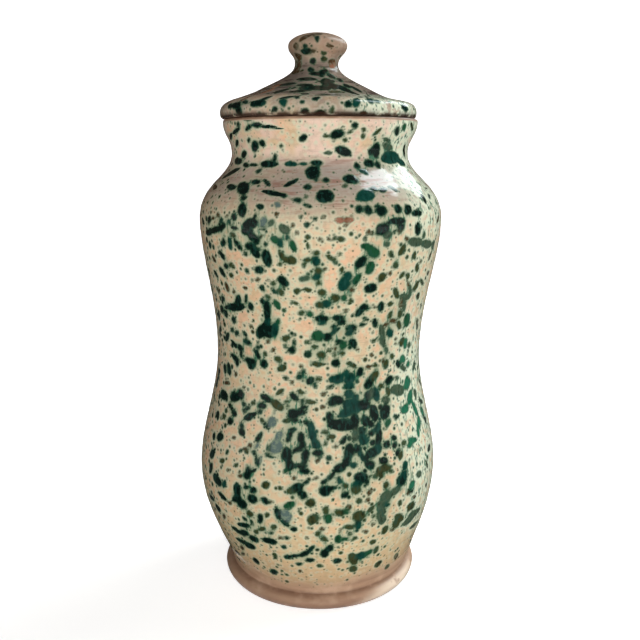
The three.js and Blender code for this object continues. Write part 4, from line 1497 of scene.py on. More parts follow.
@dataclass
class Wander:
    """How far the thrown wall strays from its axis at each level, because it was made by hand.

    Attributes:
        levels: Levels, in mm.
        shifts: Shift to the right at each level, in mm.
        ring_height: Height of the throwing rings, in mm.
        ring_pitches: Distances between throwing rings, in mm.
        drift: How far the rings stray from an even pitch, in radians.
        drift_pitch: Height over which the first rings stray, in mm, and what each next set has more.
        oval: Most that the wall is drawn in where it isn't quite round, in mm.
        oval_turn: Bearing of the oval at the table, in radians.
        oval_pitch: Height over which the oval turns by one radian, in mm.
        full: Radius up to which a piece keeps its shape and from which it takes all of this, in mm.
    """

    levels: tuple[float, ...]
    shifts: tuple[float, ...]
    ring_height: float
    ring_pitches: tuple[float, ...] = (4.6, 7.3, 11.8)
    drift: float = 1.4
    drift_pitch: Pair = (17.0, 6.0)
    oval: float = 0.35
    oval_turn: float = 0.9
    oval_pitch: float = 90.0
    full: Pair = (4.0, 40.0)

    def apply(self, piece: ThrownPiece, ringed: np.ndarray) -> None:
        """Moves the piece's vertices.

        Args:
            piece: The piece.
            ringed: Share of the rings that each vertex takes.
        """
        angle, level = piece.angles, piece.places[:, 2]
        radius = np.hypot(piece.places[:, 0], piece.places[:, 1])
        rings = np.zeros(len(level))
        for count, pitch in enumerate(self.ring_pitches):
            drift = self.drift * np.sin(level / (self.drift_pitch[0] + self.drift_pitch[1] * count) + count)
            rings += np.sin(FULL_TURN * level / pitch + angle + drift) / len(self.ring_pitches)
        inward = self.oval * (0.5 + 0.5 * np.cos(2 * angle + self.oval_turn + level / self.oval_pitch))
        full = smooth_share(radius, *self.full)
        change = (ringed * self.ring_height * (rings - 1.0) - inward) * full
        piece.places[:, 0] += change * np.cos(angle) + np.interp(level, self.levels, self.shifts)
        piece.places[:, 1] += change * np.sin(angle)


@dataclass
class JarCoat:
    """Where the jar's glaze is spattered, bled and worn, and where shade, sheen and light are painted on it.

    Each pair of levels, cosines or sines says where something starts and where it is full, and a third
    number how much it is there.

    Attributes:
        glaze_line: Level at which the glaze runs out over the foot, in mm.
        waves: Height in mm, number round the jar and turn in radians of each wave in that line.
        thinning: Distance under and over the line at which the glaze is gone and full, in mm.
        turned_away: Sine of the bearing at which the side turns away from the camera.
        left_specks_and_shade: Cosine to the left at which the fine specks get thick, which also paints the
            left side's shade.
        left_run_and_shade: Cosine to the left at which the splashes run together, also as painted shade at
            the outline, and how far, in mm.
        upper: Levels over which the specks get fewer, in mm, and by what share.
        specks_start: Distance over the glaze line over which the specks start, in mm.
        specks: Share of specks everywhere, and what the back, the left and the pool have more.
        pool: Place to the right and level at which splashes have pooled, in mm.
        pool_reach: Half the pool's width and height, in mm.
        pool_run: How far splashes run together in the pool, in mm.
        bled_and_sheen_right: Cosine to the right at which the green has bled and the window's sheen is
            painted.
        bled_up: Levels from which it has bled, in mm.
        waist: Levels from which it has bled less, in mm, and by what share.
        over_waist: Levels from which it has bled in full again, in mm.
        bled_behind: Sine of the bearing from which it has bled less, and by what share.
        bled_back: Share that has bled at the back.
        slope_up: Levels over which the shoulder's greyer slope, partly painted shade, starts, in mm.
        slope_end: Levels over which it ends at the neck, in mm.
        slope_left: Cosine to the left at which it is weaker, and by what share.
        foot_outside: Width over which the foot's outside is told from its underside, in mm.
        low_shade_levels: Levels over which that painted shade on the foot fades out, in mm.
        light_patch_bearing: Bearing of the painted patch of window light on the foot, in radians.
        light_patch_lean: How much that bearing changes with the level, in radians per mm.
        light_patch_middle: Level at which the bearing holds, in mm.
        light_patch_reach: Half the width of that painted patch of light, in radians.
        light_patch_levels: Levels over which it starts and over which it ends, in mm.
        crease_reach: Height of the painted shade and wearing in the crease, in mm.
        foot_reach: Height of the painted shade and wearing at the table, in mm.
        lip_reach: Height of the wearing and of the painted shade under the lid at the rim, in mm.
        wear_and_shade: Strength of the darkening in the crease, on the foot and at the rim, partly wearing
            and partly painted shade.
    """

    glaze_line: float = 17.5
    waves: tuple[tuple[float, int, float], ...] = ((2.5, 1, math.pi / 2 - 0.2), (1.2, 5, 0.0), (0.8, 11, 1.0))
    thinning: Pair = (-14.0, 14.0)
    turned_away: Pair = (-0.3, 0.2)
    left_specks_and_shade: Pair = (0.70, 0.90)
    left_run_and_shade: Triple = (0.86, 0.97, 0.5)
    upper: Triple = (225.0, 262.0, 0.25)
    specks_start: Pair = (-6.0, 3.0)
    specks: tuple[float, float, float, float] = (0.90, 0.15, 0.30, 0.35)
    pool: Pair = (30.0, 120.0)
    pool_reach: Pair = (14.0, 26.0)
    pool_run: float = 0.70
    bled_and_sheen_right: Pair = (0.55, 0.85)
    bled_up: Pair = (30.0, 60.0)
    waist: Triple = (150.0, 200.0, 0.6)
    over_waist: Pair = (226.0, 240.0)
    bled_behind: Triple = (0.0, 0.5, 0.5)
    bled_back: float = 0.30
    slope_up: Pair = (234.0, 260.0)
    slope_end: Pair = (269.0, 281.0)
    slope_left: Triple = (0.1, 0.8, 0.4)
    foot_outside: float = 4.0
    low_shade_levels: Pair = (1.5, 10.5)
    light_patch_bearing: float = -0.72
    light_patch_lean: float = 0.04
    light_patch_middle: float = 5.0
    light_patch_reach: float = 0.36
    light_patch_levels: tuple[Pair, Pair] = ((1.0, 3.0), (8.5, 10.0))
    crease_reach: float = 1.0
    foot_reach: float = 3.4
    lip_reach: float = 1.3
    wear_and_shade: tuple[float, float, float] = (0.55, 0.75, 0.6)

    def apply(self, piece: ThrownPiece, crease: Pair, rim: Pair) -> None:
        """Stores all of it on the piece.

        Args:
            piece: The piece.
            crease: Radius and level of the crease over the foot's roll, in mm.
            rim: Radius and level of the rim, in mm.
        """
        angle, level = piece.angles, piece.places[:, 2]
        waves = sum(height * np.sin(count * angle + turn) for height, count, turn in self.waves)
        reach = np.clip(level - (self.glaze_line + waves), *self.thinning)
        reach[piece.on(Face.LINED)] = self.thinning[1]
        reach[piece.on(Face.BARE)] = self.thinning[0]
        piece.set_number(REACH, reach)
        piece.set_number(LINING, piece.on(Face.LINED).astype(float))
        self.strew(piece, reach)
        # the shoulder's greyer slope is partly painted shade
        slope = smooth_share(level, *self.slope_up) * (1.0 - smooth_share(level, *self.slope_end))
        piece.set_number(SLOPE, slope * (1.0 - smooth_share(-np.cos(angle), *self.slope_left)))
        self.wear_and_shade_edges(piece, crease, rim)

    def strew(self, piece: ThrownPiece, reach: np.ndarray) -> None:
        """Stores how thick the fine specks lie, how far splashes run and where the green has bled.

        Args:
            piece: The piece.
            reach: Distance of each vertex over the glaze line, in mm.
        """
        angle, level = piece.angles, piece.places[:, 2]
        back = smooth_share(np.sin(angle), *self.turned_away)
        # more specks and runs on the left limb, which also paint its shade
        left = smooth_share(-np.cos(angle), *self.left_specks_and_shade)
        across = (piece.places[:, 0] - self.pool[0]) / self.pool_reach[0]
        pool = np.exp(-across ** 2 - ((level - self.pool[1]) / self.pool_reach[1]) ** 2) * (1.0 - back)
        share, back_more, left_more, pool_more = self.specks
        share = share + back_more * back + left_more * left + pool_more * pool
        share *= 1.0 - smooth_share(level, *self.upper)
        piece.set_number(SPECKS, share * smooth_share(reach, *self.specks_start))
        piece.set_number(RUN, self.pool_run * pool + smooth_share(-np.cos(angle), *self.left_run_and_shade))
        # the right side's bleed is also a painted sheen of the window
        right = smooth_share(np.cos(angle), *self.bled_and_sheen_right) * smooth_share(level, *self.bled_up)
        right *= 1.0 - smooth_share(level, *self.waist) * (1.0 - smooth_share(level, *self.over_waist))
        right *= 1.0 - smooth_share(np.sin(angle), *self.bled_behind)
        piece.set_number(BLEED_AND_SHEEN, np.maximum(right, self.bled_back * back))

    def wear_and_shade_edges(self, piece: ThrownPiece, crease: Pair, rim: Pair) -> None:
        """Stores the painted shade low on the foot, its painted patch of window light and the worn, shaded
        edges.

        Args:
            piece: The piece.
            crease: Radius and level of the crease over the foot's roll, in mm.
            rim: Radius and level of the rim, in mm.
        """
        angle, level = piece.angles, piece.places[:, 2]
        radius = np.hypot(piece.places[:, 0], piece.places[:, 1])
        outer = smooth_share(radius, crease[0] - self.foot_outside, crease[0])
        # painted shade, darker towards the table on the foot's outside
        piece.set_number(FOOT_SHADE, outer * (1.0 - smooth_share(level, *self.low_shade_levels)))
        # the painted patch of window light on the front right of the foot
        bearing = self.light_patch_bearing + self.light_patch_lean * (level - self.light_patch_middle)
        start, end = self.light_patch_levels
        light_patch = np.exp(-((angle - bearing) / self.light_patch_reach) ** 4) * (1.0 - smooth_share(level, *end))
        piece.set_number(FOOT_LIGHT_PATCH, outer * light_patch * smooth_share(level, *start))
        in_crease, on_foot, on_lip = self.wear_and_shade
        # painted shade in the crease over the foot's roll and at the table, with some wearing
        foot = in_crease * np.exp(-((level - crease[1]) / self.crease_reach) ** 2)
        foot = on_foot * (foot + outer * np.exp(-(level / self.foot_reach) ** 2))
        # the rim's edge: some wearing and painted shadow under the lid
        lip = on_lip * np.exp(-((level - rim[1]) / self.lip_reach) ** 2)
        piece.set_number(EDGE_WEAR_AND_SHADE, np.where(piece.on(Face.LINED), 0.0, np.clip(foot + lip, 0.0, 1.0)))


@dataclass
class JarBody:
    """The jar: rolled foot, belly, waist, shoulder, neck and flared rim in one thrown wall.

    Sizes are in mm. A place on the section is its radius and level, and what is called round says how far
    the curve's handles reach there. The throwing rings start over the levels ringed_up and end over those of
    ringed_end, and ringed_inside is how strong they are inside, where 1 is their strength outside.
    """

    standing_radius: float = 60.0
    ring_width: float = 10.0
    recess: float = 3.5
    recess_round: float = 2.0
    roll: Pair = (64.6, 6.0)
    roll_round: float = 2.6
    crease: Pair = (59.8, 10.0)
    ridge: Pair = (60.3, 12.4)
    spread: Pair = (7.2, 21.0)
    belly: Pair = (78.2, 78.0)
    belly_round: Pair = (25.5, 24.5)
    waist: Pair = (66.0, 155.0)
    waist_round: Pair = (27.5, 34.0)
    shoulder: Pair = (76.2, 238.5)
    shoulder_round: Pair = (23.0, 22.0)
    neck: Pair = (54.9, 278.8)
    neck_round: Pair = (14.3, 7.8)
    rim: Pair = (60.2, 298.8)
    rim_round: float = 7.8
    rim_edge: float = 1.8
    wall: float = 6.5
    floor: float = 11.5
    floor_round: float = 14.0
    step: float = 1.36
    lining_step: float = 6.0
    segments: int = 290
    ringed_up: Pair = (14.0, 30.0)
    ringed_end: Pair = (288.0, 296.0)
    ringed_inside: float = 1.6
    largest_splash: float = 7.5
    coat: JarCoat = field(default_factory=JarCoat)
    wander: Wander = field(default_factory=lambda: Wander(
        levels=(0.0, 8.0, 17.0, 30.0, 60.0, 80.0, 110.0, 155.0, 190.0, 225.0, 245.0, 278.0, 299.0),
        shifts=(1.4, 1.5, 2.1, 1.2, 0.1, 0.1, 0.3, 0.7, 1.35, 1.9, 1.9, 1.35, 1.8),
        ring_height=0.11))

    def section(self) -> Section:
        """Draws the half-section.

        Returns:
            The section, from the middle of the underside round to the middle of the floor inside.
        """
        section = Section(self.step)
        inner = self.standing_radius - self.ring_width
        section.start(0.0, self.recess, Face.BARE)
        section.line(inner - self.recess_round, self.recess, Face.BARE, steps=8)
        section.round((inner, self.recess), (inner, 0.0), Face.BARE)
        section.line(self.standing_radius, 0.0, Face.BARE, steps=3)
        roll_radius, roll_level = self.roll
        section.swell((self.standing_radius + self.roll_round, 0.0),
                      (roll_radius, roll_level - self.roll_round), self.roll, Face.SPATTERED)
        section.swell((roll_radius, roll_level + self.roll_round), self.crease, self.crease, Face.SPATTERED)
        section.line(*self.ridge, Face.SPATTERED, steps=2)
        outside = len(section.stations) - 1
        section.swell((self.ridge[0] + self.spread[0], self.ridge[1] + self.spread[1]),
                      (self.belly[0], self.belly[1] - self.belly_round[0]), self.belly, Face.SPATTERED)
        rim_low = (self.rim[0], self.rim[1] - self.rim_edge)
        climb = ((self.belly, self.belly_round[1], self.waist_round[0], self.waist),
                 (self.waist, self.waist_round[1], self.shoulder_round[0], self.shoulder),
                 (self.shoulder, self.shoulder_round[1], self.neck_round[0], self.neck),
                 (self.neck, self.neck_round[1], self.rim_round, rim_low))
        for low, rise, fall, high in climb:
            section.swell((low[0], low[1] + rise), (high[0], high[1] - fall), high, Face.SPATTERED)
        wall = section.stations[outside:]
        section.step = self.rim_edge / ROUND_STEPS
        section.round((self.rim[0], self.rim[1]), (self.rim[0] - self.rim_edge, self.rim[1]), Face.BARE)
        throat = self.rim[0] - self.wall
        section.line(throat + self.rim_edge, self.rim[1], Face.BARE, steps=2)
        section.round((throat, self.rim[1]), (throat, rim_low[1]), Face.LINED)
        self.line_inside(section, wall)
        return section

    def line_inside(self, section: Section, wall: Sequence[Station]) -> None:
        """Draws the inside of the wall and the floor.

        Args:
            section: The section, drawn down to the throat.
            wall: The outside of the wall, from the ridge up.
        """
        last = section.stations[-1]
        for before, here, after in reversed(list(zip(wall, wall[1:], wall[2:]))):
            run = Vector((after.radius - before.radius, after.level - before.level)).normalized()
            radius, level = here.radius - self.wall * run.y, here.level + self.wall * run.x
            gap = math.hypot(radius - last.radius, level - last.level)
            if level > self.floor + self.floor_round and gap > self.lining_step and level < last.level:
                section.line(radius, level, Face.LINED)
                last = section.stations[-1]
        corner = last.radius - self.spread[0]
        section.step = self.lining_step / 2
        section.round((corner, self.floor), (corner - self.floor_round, self.floor), Face.LINED)
        section.line(0.0, self.floor, Face.LINED, steps=8)

    def build(self) -> ThrownPiece:
        """Turns the jar and gives it its hand-made shape.

        Returns:
            The piece.
        """
        piece = ThrownPiece("jar_body", self.section().turn(self.segments))
        level = piece.places[:, 2]
        share = np.where(piece.on(Face.SPATTERED), 1.0, self.ringed_inside)
        ringed = smooth_share(level, *self.ringed_up) * share * (1.0 - smooth_share(level, *self.ringed_end))
        ringed[piece.on(Face.BARE)] = 0.0
        self.wander.apply(piece, ringed)
        piece.keep()
        self.coat.apply(piece, self.crease, self.rim)
        return piece

    def zones(self) -> tuple[Zone, ...]:
        """The stretch whose unseen side is spattered."""
        return (Zone(low=self.coat.glaze_line, high=self.rim[1], radius=self.belly[0], share=1.0,
                     away_cosine=0.0, largest=self.largest_splash),)

    def dress(self, piece: ThrownPiece) -> None:
        """Gives the jar its glaze and its place in the frame.

        Args:
            piece: The piece.
        """
        piece.mesh.materials.append(SpatterGlaze("jar_spatter_glaze").build())
        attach(piece.object, "jar")
        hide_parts("jar")


@dataclass
class LidCoat:
    """Where the lid is bled, greyer and worn, with painted sheen and shade. Each pair says where something
    starts and is full.

    Attributes:
        thinning: Distance past the end of the glaze at which it is gone and full, in mm.
        on_knob: How far the glaze reaches past its end on the knob, where it is thin, in mm.
        knob_from: How far under the neck and the knob's widest level it starts to thin, in mm.
        specks: Share of the fine specks.
        bled_and_sheen_right: Distance to the right at which the green has bled and the window's sheen is
            painted, in mm.
        bled_and_sheen_brim: Radii over which it has bled and that sheen is painted on the brim, in mm.
        bled_round: Radii over which it has bled a little all round, in mm, and how much.
        slope_out: Radii over which the greyer slope, partly painted shade, ends, in mm.
        slope_end: Levels over which it ends at the knob, in mm.
        run: How far splashes run together on the slope, in mm.
        seat_wear_and_shade: Strength of the worn, painted-shadow darkening at the seat and its height in mm.
        neck_wear_and_shade: Strength of the worn, painted-shade darkening round the knob's neck and its
            height in mm.
        most_wear_and_shade: Most darkening anywhere, worn and painted shade together.
    """

    thinning: Pair = (-14.0, 14.0)
    on_knob: float = 1.5
    knob_from: float = 3.0
    specks: float = 0.85
    bled_and_sheen_right: Pair = (4.0, 34.0)
    bled_and_sheen_brim: Pair = (41.0, 47.0)
    bled_round: Triple = (44.0, 56.0, 0.1)
    slope_out: Pair = (54.0, 45.0)
    slope_end: Pair = (330.0, 338.0)
    run: float = 0.6
    seat_wear_and_shade: Pair = (1.3, 2.0)
    neck_wear_and_shade: Pair = (0.15, 5.0)
    most_wear_and_shade: float = 0.95

    def apply(self, piece: ThrownPiece, seat: float, neck: float, knob: float) -> None:
        """Stores all of it on the piece.

        Args:
            piece: The piece.
            seat: Level of the seat, in mm.
            neck: Level of the knob's neck, in mm.
            knob: Level at which the knob is widest, in mm.
        """
        level = piece.places[:, 2]
        radius = np.hypot(piece.places[:, 0], piece.places[:, 1])
        gone, full = self.thinning
        thin = smooth_share(level, neck - self.knob_from, knob - self.knob_from)
        reach = full + (self.on_knob - full) * thin
        reach[piece.on(Face.BARE)] = gone
        piece.set_number(REACH, reach)
        piece.set_number(LINING, piece.on(Face.LINED).astype(float))
        piece.set_number(SPECKS, np.full(len(reach), self.specks))
        # the brim's right is painted pale as the window's sheen, over the green's bleed
        right = smooth_share(piece.places[:, 0], *self.bled_and_sheen_right) * smooth_share(radius, *self.bled_and_sheen_brim)
        piece.set_number(BLEED_AND_SHEEN, np.maximum(right, smooth_share(radius, *self.bled_round)))
        # the cover's greyer slope is partly painted shade
        slope = smooth_share(radius, *self.slope_out) * (1.0 - smooth_share(level, *self.slope_end))
        piece.set_number(SLOPE, slope)
        piece.set_number(RUN, self.run * slope)
        # darkening at the seat and round the knob's neck: some wearing and painted shadow under the lid's
        # edge and the knob
        wear_and_shade = sum(most * np.exp(-((level - middle) / width) ** 2)
                   for middle, (most, width) in ((seat, self.seat_wear_and_shade), (neck, self.neck_wear_and_shade)))
        wear_and_shade = np.clip(wear_and_shade, 0.0, self.most_wear_and_shade)
        piece.set_number(EDGE_WEAR_AND_SHADE, np.where(piece.on(Face.SPATTERED), wear_and_shade, 0.0))


@dataclass
class JarLid:
    """The lid: cover, locating flange and knob in one piece.

    Sizes are in mm, and pairs are as in the jar's body. A slope is the fall for each mm outwards, lean is
    how far the cover leans to one side, in degrees, from lean_low under the brim to lean_high under the
    cone, and knob_upright gives the levels over which the knob stands up again, and by what share.
    """

    seat: float = 299.1
    cover_radius: float = 60.6
    edge_round: float = 2.2
    edge_level: float = 3.4
    brim: Pair = (52.0, 310.0)
    brim_round: Pair = (4.6, 5.0)
    brim_slope: float = 0.24
    cone: Pair = (37.0, 315.1)
    cone_round: float = 5.0
    cone_slope: float = 0.50
    cone_reach: float = 15.0
    ceiling_round: float = 16.0
    flange_radius: float = 46.9
    flange_bore: float = 40.9
    flange_tip: float = 281.1
    tip_round: float = 2.0
    knob_neck: Pair = (13.3, 331.7)
    knob_neck_round: Pair = (6.2, 5.4)
    ceiling: float = 318.7
    knob: Pair = (18.1, 342.3)
    knob_round: float = 5.0
    crown: float = 350.0
    crown_round: Pair = (3.9, 7.5)
    ceiling_edge: float = 307.12
    step: float = 1.1
    lining_step: float = 4.4
    segments: int = 240
    lean: float = 1.4
    lean_low: float = 3.0
    lean_high: float = 2.0
    knob_upright: Triple = (326.0, 340.0, 0.8)
    ringed_up: Pair = (307.0, 312.0)
    ringed_end: Pair = (322.0, 328.0)
    coat: LidCoat = field(default_factory=LidCoat)
    wander: Wander = field(default_factory=lambda: Wander(
        levels=(281.0, 299.0, 308.0, 320.0, 331.0, 342.0, 350.0),
        shifts=(0.5, 0.5, 0.5, 0.0, -0.6, 0.2, 0.2),
        ring_height=0.07, oval=0.25))

    def section(self) -> Section:
        """Draws the half-section.

        Returns:
            The section, from the middle of the ceiling round to the top of the knob.
        """
        section = Section(self.lining_step)
        bore, outside, tip = self.flange_bore, self.flange_radius, self.flange_tip
        section.start(0.0, self.ceiling, Face.LINED)
        section.swell((self.ceiling_round, self.ceiling), (bore - self.ceiling_round / 2, self.ceiling_edge),
                      (bore, self.ceiling_edge), Face.LINED)
        section.line(bore, tip + self.tip_round, Face.BARE, steps=5)
        section.step = self.tip_round / ROUND_STEPS
        section.round((bore, tip), (bore + self.tip_round, tip), Face.BARE)
        section.line(outside - self.tip_round, tip, Face.BARE)
        section.round((outside, tip), (outside, tip + self.tip_round), Face.BARE)
        section.line(outside, self.seat, Face.BARE, steps=5)
        section.line(self.cover_radius - self.edge_round, self.seat, Face.BARE, steps=5)
        section.step = self.step
        edge = (self.cover_radius, self.seat + self.edge_level)
        section.round((self.cover_radius, self.seat), edge, Face.SPATTERED)
        brim, cone, neck, knob = self.brim, self.cone, self.knob_neck, self.knob
        over_edge = (edge[0], edge[1] + self.brim_round[0])
        swells = (
            (over_edge, self.beside(brim, self.brim_round[1], self.brim_slope), brim),
            (self.beside(brim, -self.cone_round, self.brim_slope),
             self.beside(cone, self.cone_round, self.cone_slope), cone),
            (self.beside(cone, -self.cone_reach, self.cone_slope),
             (neck[0], neck[1] - self.knob_neck_round[0]), neck),
            ((neck[0], neck[1] + self.knob_neck_round[1]), (knob[0], knob[1] - self.knob_round), knob),
            ((knob[0], knob[1] + self.crown_round[0]),
             (knob[0] - self.crown_round[1], self.crown), (0.0, self.crown)),
        )
        for first, second, end in swells:
            section.swell(first, second, end, Face.SPATTERED)
        return section

    @staticmethod
    def beside(point: Pair, out: float, fall: float) -> Pair:
        """A handle some way outwards of a point of the section, along the cover's fall there."""
        return point[0] + out, point[1] - fall * out

    def build(self) -> ThrownPiece:
        """Turns the lid and gives it its hand-made shape.

        Returns:
            The piece.
        """
        piece = ThrownPiece("jar_lid", self.section().turn(self.segments))
        level = piece.places[:, 2].copy()
        above = piece.on(Face.SPATTERED)
        ringed = smooth_share(level, *self.ringed_up) * (1.0 - smooth_share(level, *self.ringed_end))
        lean = smooth_share(level, self.brim[1] - self.lean_low, self.cone[1] - self.lean_high)
        lean *= math.tan(math.radians(self.lean)) * (1.0 - smooth_share(level, *self.knob_upright))
        sink = np.where(above, lean * piece.places[:, 0], 0.0)
        self.wander.apply(piece, np.where(above, ringed, 0.0))
        piece.places[:, 2] = np.minimum(level - sink, self.crown)
        piece.keep()
        self.coat.apply(piece, self.seat, self.knob_neck[1], self.knob[1])
        return piece

    def zones(self) -> tuple[Zone, ...]:
        """Says which stretches are spattered on the unseen side.

        Returns:
            The slope from the brim up to the knob's neck, and the knob.
        """
        neck, away = self.knob_neck[1], 0.25
        brim, knob = self.cover_radius, self.knob[0]
        return (Zone(low=self.seat, high=neck, radius=brim, share=0.11, away_cosine=away, largest=6.0),
                Zone(low=neck, high=self.crown, radius=knob, share=0.016, away_cosine=away, largest=2.8))

    def dress(self, piece: ThrownPiece) -> None:
        """Gives the lid its glaze and its place in the frame.

        Args:
            piece: The piece.
        """
        piece.mesh.materials.append(SpatterGlaze(
            "lid_spatter_glaze", cream=(0.60, 0.44, 0.32), mint=(0.78, 0.77, 0.63), peach=(0.62, 0.40, 0.29),
            # the slope's dark grey is partly painted shade on the upward-facing cover
            slope_grey_and_shade=(0.215, 0.182, 0.162), blush=(0.36, 0.26, 0.21), rose=(0.045, 0.032, 0.028),
            clay=(0.38, 0.245, 0.175), clay_dark=(0.20, 0.125, 0.085), clay_pale=(0.48, 0.35, 0.27),
            # this rust is near black: painted shadow under the lid's edge, over some wearing
            stained=(0.27, 0.27, 0.20), rust_and_shade=(0.034, 0.015, 0.010), shift=(0.31, 0.17, 0.0), halo=0.28,
            sheen=0.15).build())
        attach(piece.object, "lid")
        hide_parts("lid")


@dataclass(frozen=True)
class Lamp:
    """One soft studio lamp, aimed at the middle of the jar.

    Attributes:
        name: Name of the lamp.
        bearing: Bearing from the camera's side towards the right, in degrees.
        rise: Angle above the table, in degrees.
        distance: Distance from the jar, in metres.
        size: Width and height, in metres.
        power: Power, in watts.
        colour: Colour of its light.
        mirrored: Whether the glaze shows its reflection.
        lighting: Whether it lights the colours too, or only glints in the glaze.
    """

    name: str
    bearing: float
    rise: float
    distance: float
    size: Pair
    power: float
    colour: Colour = (1.0, 1.0, 1.0)
    mirrored: bool = True
    lighting: bool = True

    def build(self, target: Vector) -> None:
        """Adds the lamp.

        Args:
            target: Point that it is aimed at, in metres.
        """
        bearing, rise = math.radians(self.bearing), math.radians(self.rise)
        level = math.cos(rise)
        away = Vector((math.sin(bearing) * level, -math.cos(bearing) * level, math.sin(rise)))
        light = bpy.data.lights.new(self.name, "AREA")
        light.shape = "RECTANGLE"
        light.size, light.size_y = self.size
        light.energy = self.power
        light.color = self.colour
        holder = bpy.data.objects.new(self.name, light)
        holder.location = target + away * self.distance
        holder.rotation_euler = away.to_track_quat("Z", "Y").to_euler()
        holder.visible_glossy = self.mirrored
        holder.visible_diffuse = self.lighting
        bpy.context.scene.collection.objects.link(holder)


@dataclass
class Studio:
    """The pale floor and backdrop in one sweep, the lamps and the dim room around them.

    Attributes:
        half_width: Half the sweep's width, in metres.
        front: Distance that the floor runs out before the jar, in metres.
        back: Distance of the wall behind the jar, in metres.
        height: Height of the wall, in metres.
        bend: Radius of the bend between floor and wall, in metres.
        paint: Colour of the sweep.
        glow: Light that the paper adds near the jar where it is seen or mirrored, where 1 is white.
        glow_reach: Distance from the jar over which that light rises to 1, in metres.
        room_low: Colour of the room from the table's level down.
        room_high: Colour of the room overhead.
        dusk: Angles above the horizon at which the room starts to darken and is dark, in degrees.
        flag_inner: Inner radius of the dark felt round the jar, in metres.
        flag_outer: Its outer radius, in metres.
        felt: Colour of the felt.
        screen_radius: Radius of the screen round the back, in metres.
        screen_height: Its height, in metres.
        cloth: Colour of the screen as the glaze mirrors it.
        drum_radius: Radius of the drum round the studio, in metres.
        drum_height: Its height, in metres.
        drum_gap: Depth of its floor under the table's level, in metres.
        target: Point that the lamps are aimed at, in metres.
        lamps: The lamps.
    """

    half_width: float = 2.0
    front: float = 1.6
    back: float = 2.0
    height: float = 1.0
    bend: float = 0.45
    paint: Colour = (0.80, 0.79, 0.78)
    glow: float = 0.80
    glow_reach: Pair = (0.35, 1.0)
    room_low: Colour = (0.34, 0.32, 0.29)
    room_high: Colour = (0.060, 0.057, 0.055)
    dusk: Pair = (6.0, 26.0)
    flag_inner: float = 0.0655
    flag_outer: float = 1.6
    felt: Colour = (0.10, 0.10, 0.09)
    screen_radius: float = 1.45
    screen_height: float = 1.6
    cloth: Colour = (0.055, 0.036, 0.025)
    drum_radius: float = 5.0
    drum_height: float = 6.0
    drum_gap: float = 0.05
    target: Vector = field(default_factory=lambda: Vector((0.0, 0.0, 0.18)))
    lamps: tuple[Lamp, ...] = (
        Lamp("window_right", bearing=118.0, rise=41.0, distance=1.15, size=(0.80, 1.15), power=14.0,
             colour=(0.96, 1.0, 0.97), mirrored=False),
        Lamp("upper_glint", bearing=115.0, rise=57.0, distance=1.15, size=(0.42, 0.46), power=6.0,
             colour=(0.84, 0.96, 1.0), lighting=False),
        Lamp("lower_glint", bearing=135.0, rise=37.0, distance=1.15, size=(0.42, 0.46), power=2.8,
             colour=(0.84, 0.96, 1.0), lighting=False),
        Lamp("low_front_fill", bearing=2.0, rise=4.0, distance=1.7, size=(1.5, 0.5), power=18.0,
             colour=(1.0, 0.97, 0.93), mirrored=False),
    )

    def build(self) -> None:
        """Adds the sweep and its surround, the felt, the screen, the lamps and the room."""
        paper = self.paper()
        self.sweep(paper)
        self.surround(paper)
        self.flag()
        self.screen()
        for lamp in self.lamps:
            lamp.build(self.target)
        self.room()

    def room(self) -> None:
        """Adds the dim room, which is darker overhead."""
        world = bpy.data.worlds.new("dim_room")
        bench = Bench(world, "World")
        low, high = (math.sin(math.radians(angle)) for angle in self.dusk)
        share = bench.rise(bench.height(bench.place("Generated")), low, high)
        bench.finish(bench.node("ShaderNodeBackground", None, {
            "Color": bench.mix(share, self.room_low, self.room_high), "Strength": 1.0}))
        bpy.context.scene.world = world

    def sweep(self, paper: bpy.types.Material) -> None:
        """Adds the floor, which bends up into the wall.

        Args:
            paper: The material.
        """
        sheet = bmesh.new()
        bmesh.ops.create_grid(sheet, x_segments=1, y_segments=1, size=1.0)
        depth = (self.front + self.back) / 2
        bmesh.ops.scale(sheet, verts=sheet.verts[:], vec=(self.half_width, depth, 1.0))
        bmesh.ops.translate(sheet, verts=sheet.verts[:], vec=(0.0, self.back - depth, 0.0))
        rear = [edge for edge in sheet.edges if all(vertex.co.y > self.back - MM for vertex in edge.verts)]
        wall = self.raised(sheet, rear)
        bmesh.ops.translate(sheet, verts=wall, vec=(0.0, 0.0, self.height))
        fold = [edge for edge in sheet.edges if all(
            vertex.co.y > self.back - MM and vertex.co.z < MM for vertex in edge.verts)]
        bmesh.ops.bevel(sheet, geom=fold, offset=self.bend, offset_type="OFFSET", affect="EDGES", segments=16,
                        profile=0.5, material=-1)
        self.face_jar(sheet)
        self.place("sweep", sheet).data.materials.append(paper)

    def surround(self, paper: bpy.types.Material) -> None:
        """Adds the drum of paper round the studio, which only the camera sees from the sides and the back.

        Args:
            paper: The material.
        """
        sheet = bmesh.new()
        bmesh.ops.create_cone(sheet, cap_ends=True, segments=64, radius1=self.drum_radius,
                              radius2=self.drum_radius, depth=self.drum_height)
        drop = self.drum_height / 2 - self.drum_gap
        bmesh.ops.translate(sheet, verts=sheet.verts[:], vec=(0.0, 0.0, drop))
        self.face_jar(sheet)
        drum = self.place("paper_drum", sheet)
        drum.data.materials.append(paper)
        self.hide(drum, "diffuse", "glossy", "transmission", "shadow")

    @staticmethod
    def raised(sheet: bmesh.types.BMesh, edges: Sequence[bmesh.types.BMEdge]) -> list[bmesh.types.BMVert]:
        """Adds a strip along some edges, whose new vertices still lie on the old ones."""
        strip = bmesh.ops.extrude_edge_only(sheet, edges=edges)["geom"]
        return [vertex for vertex in strip if isinstance(vertex, bmesh.types.BMVert)]

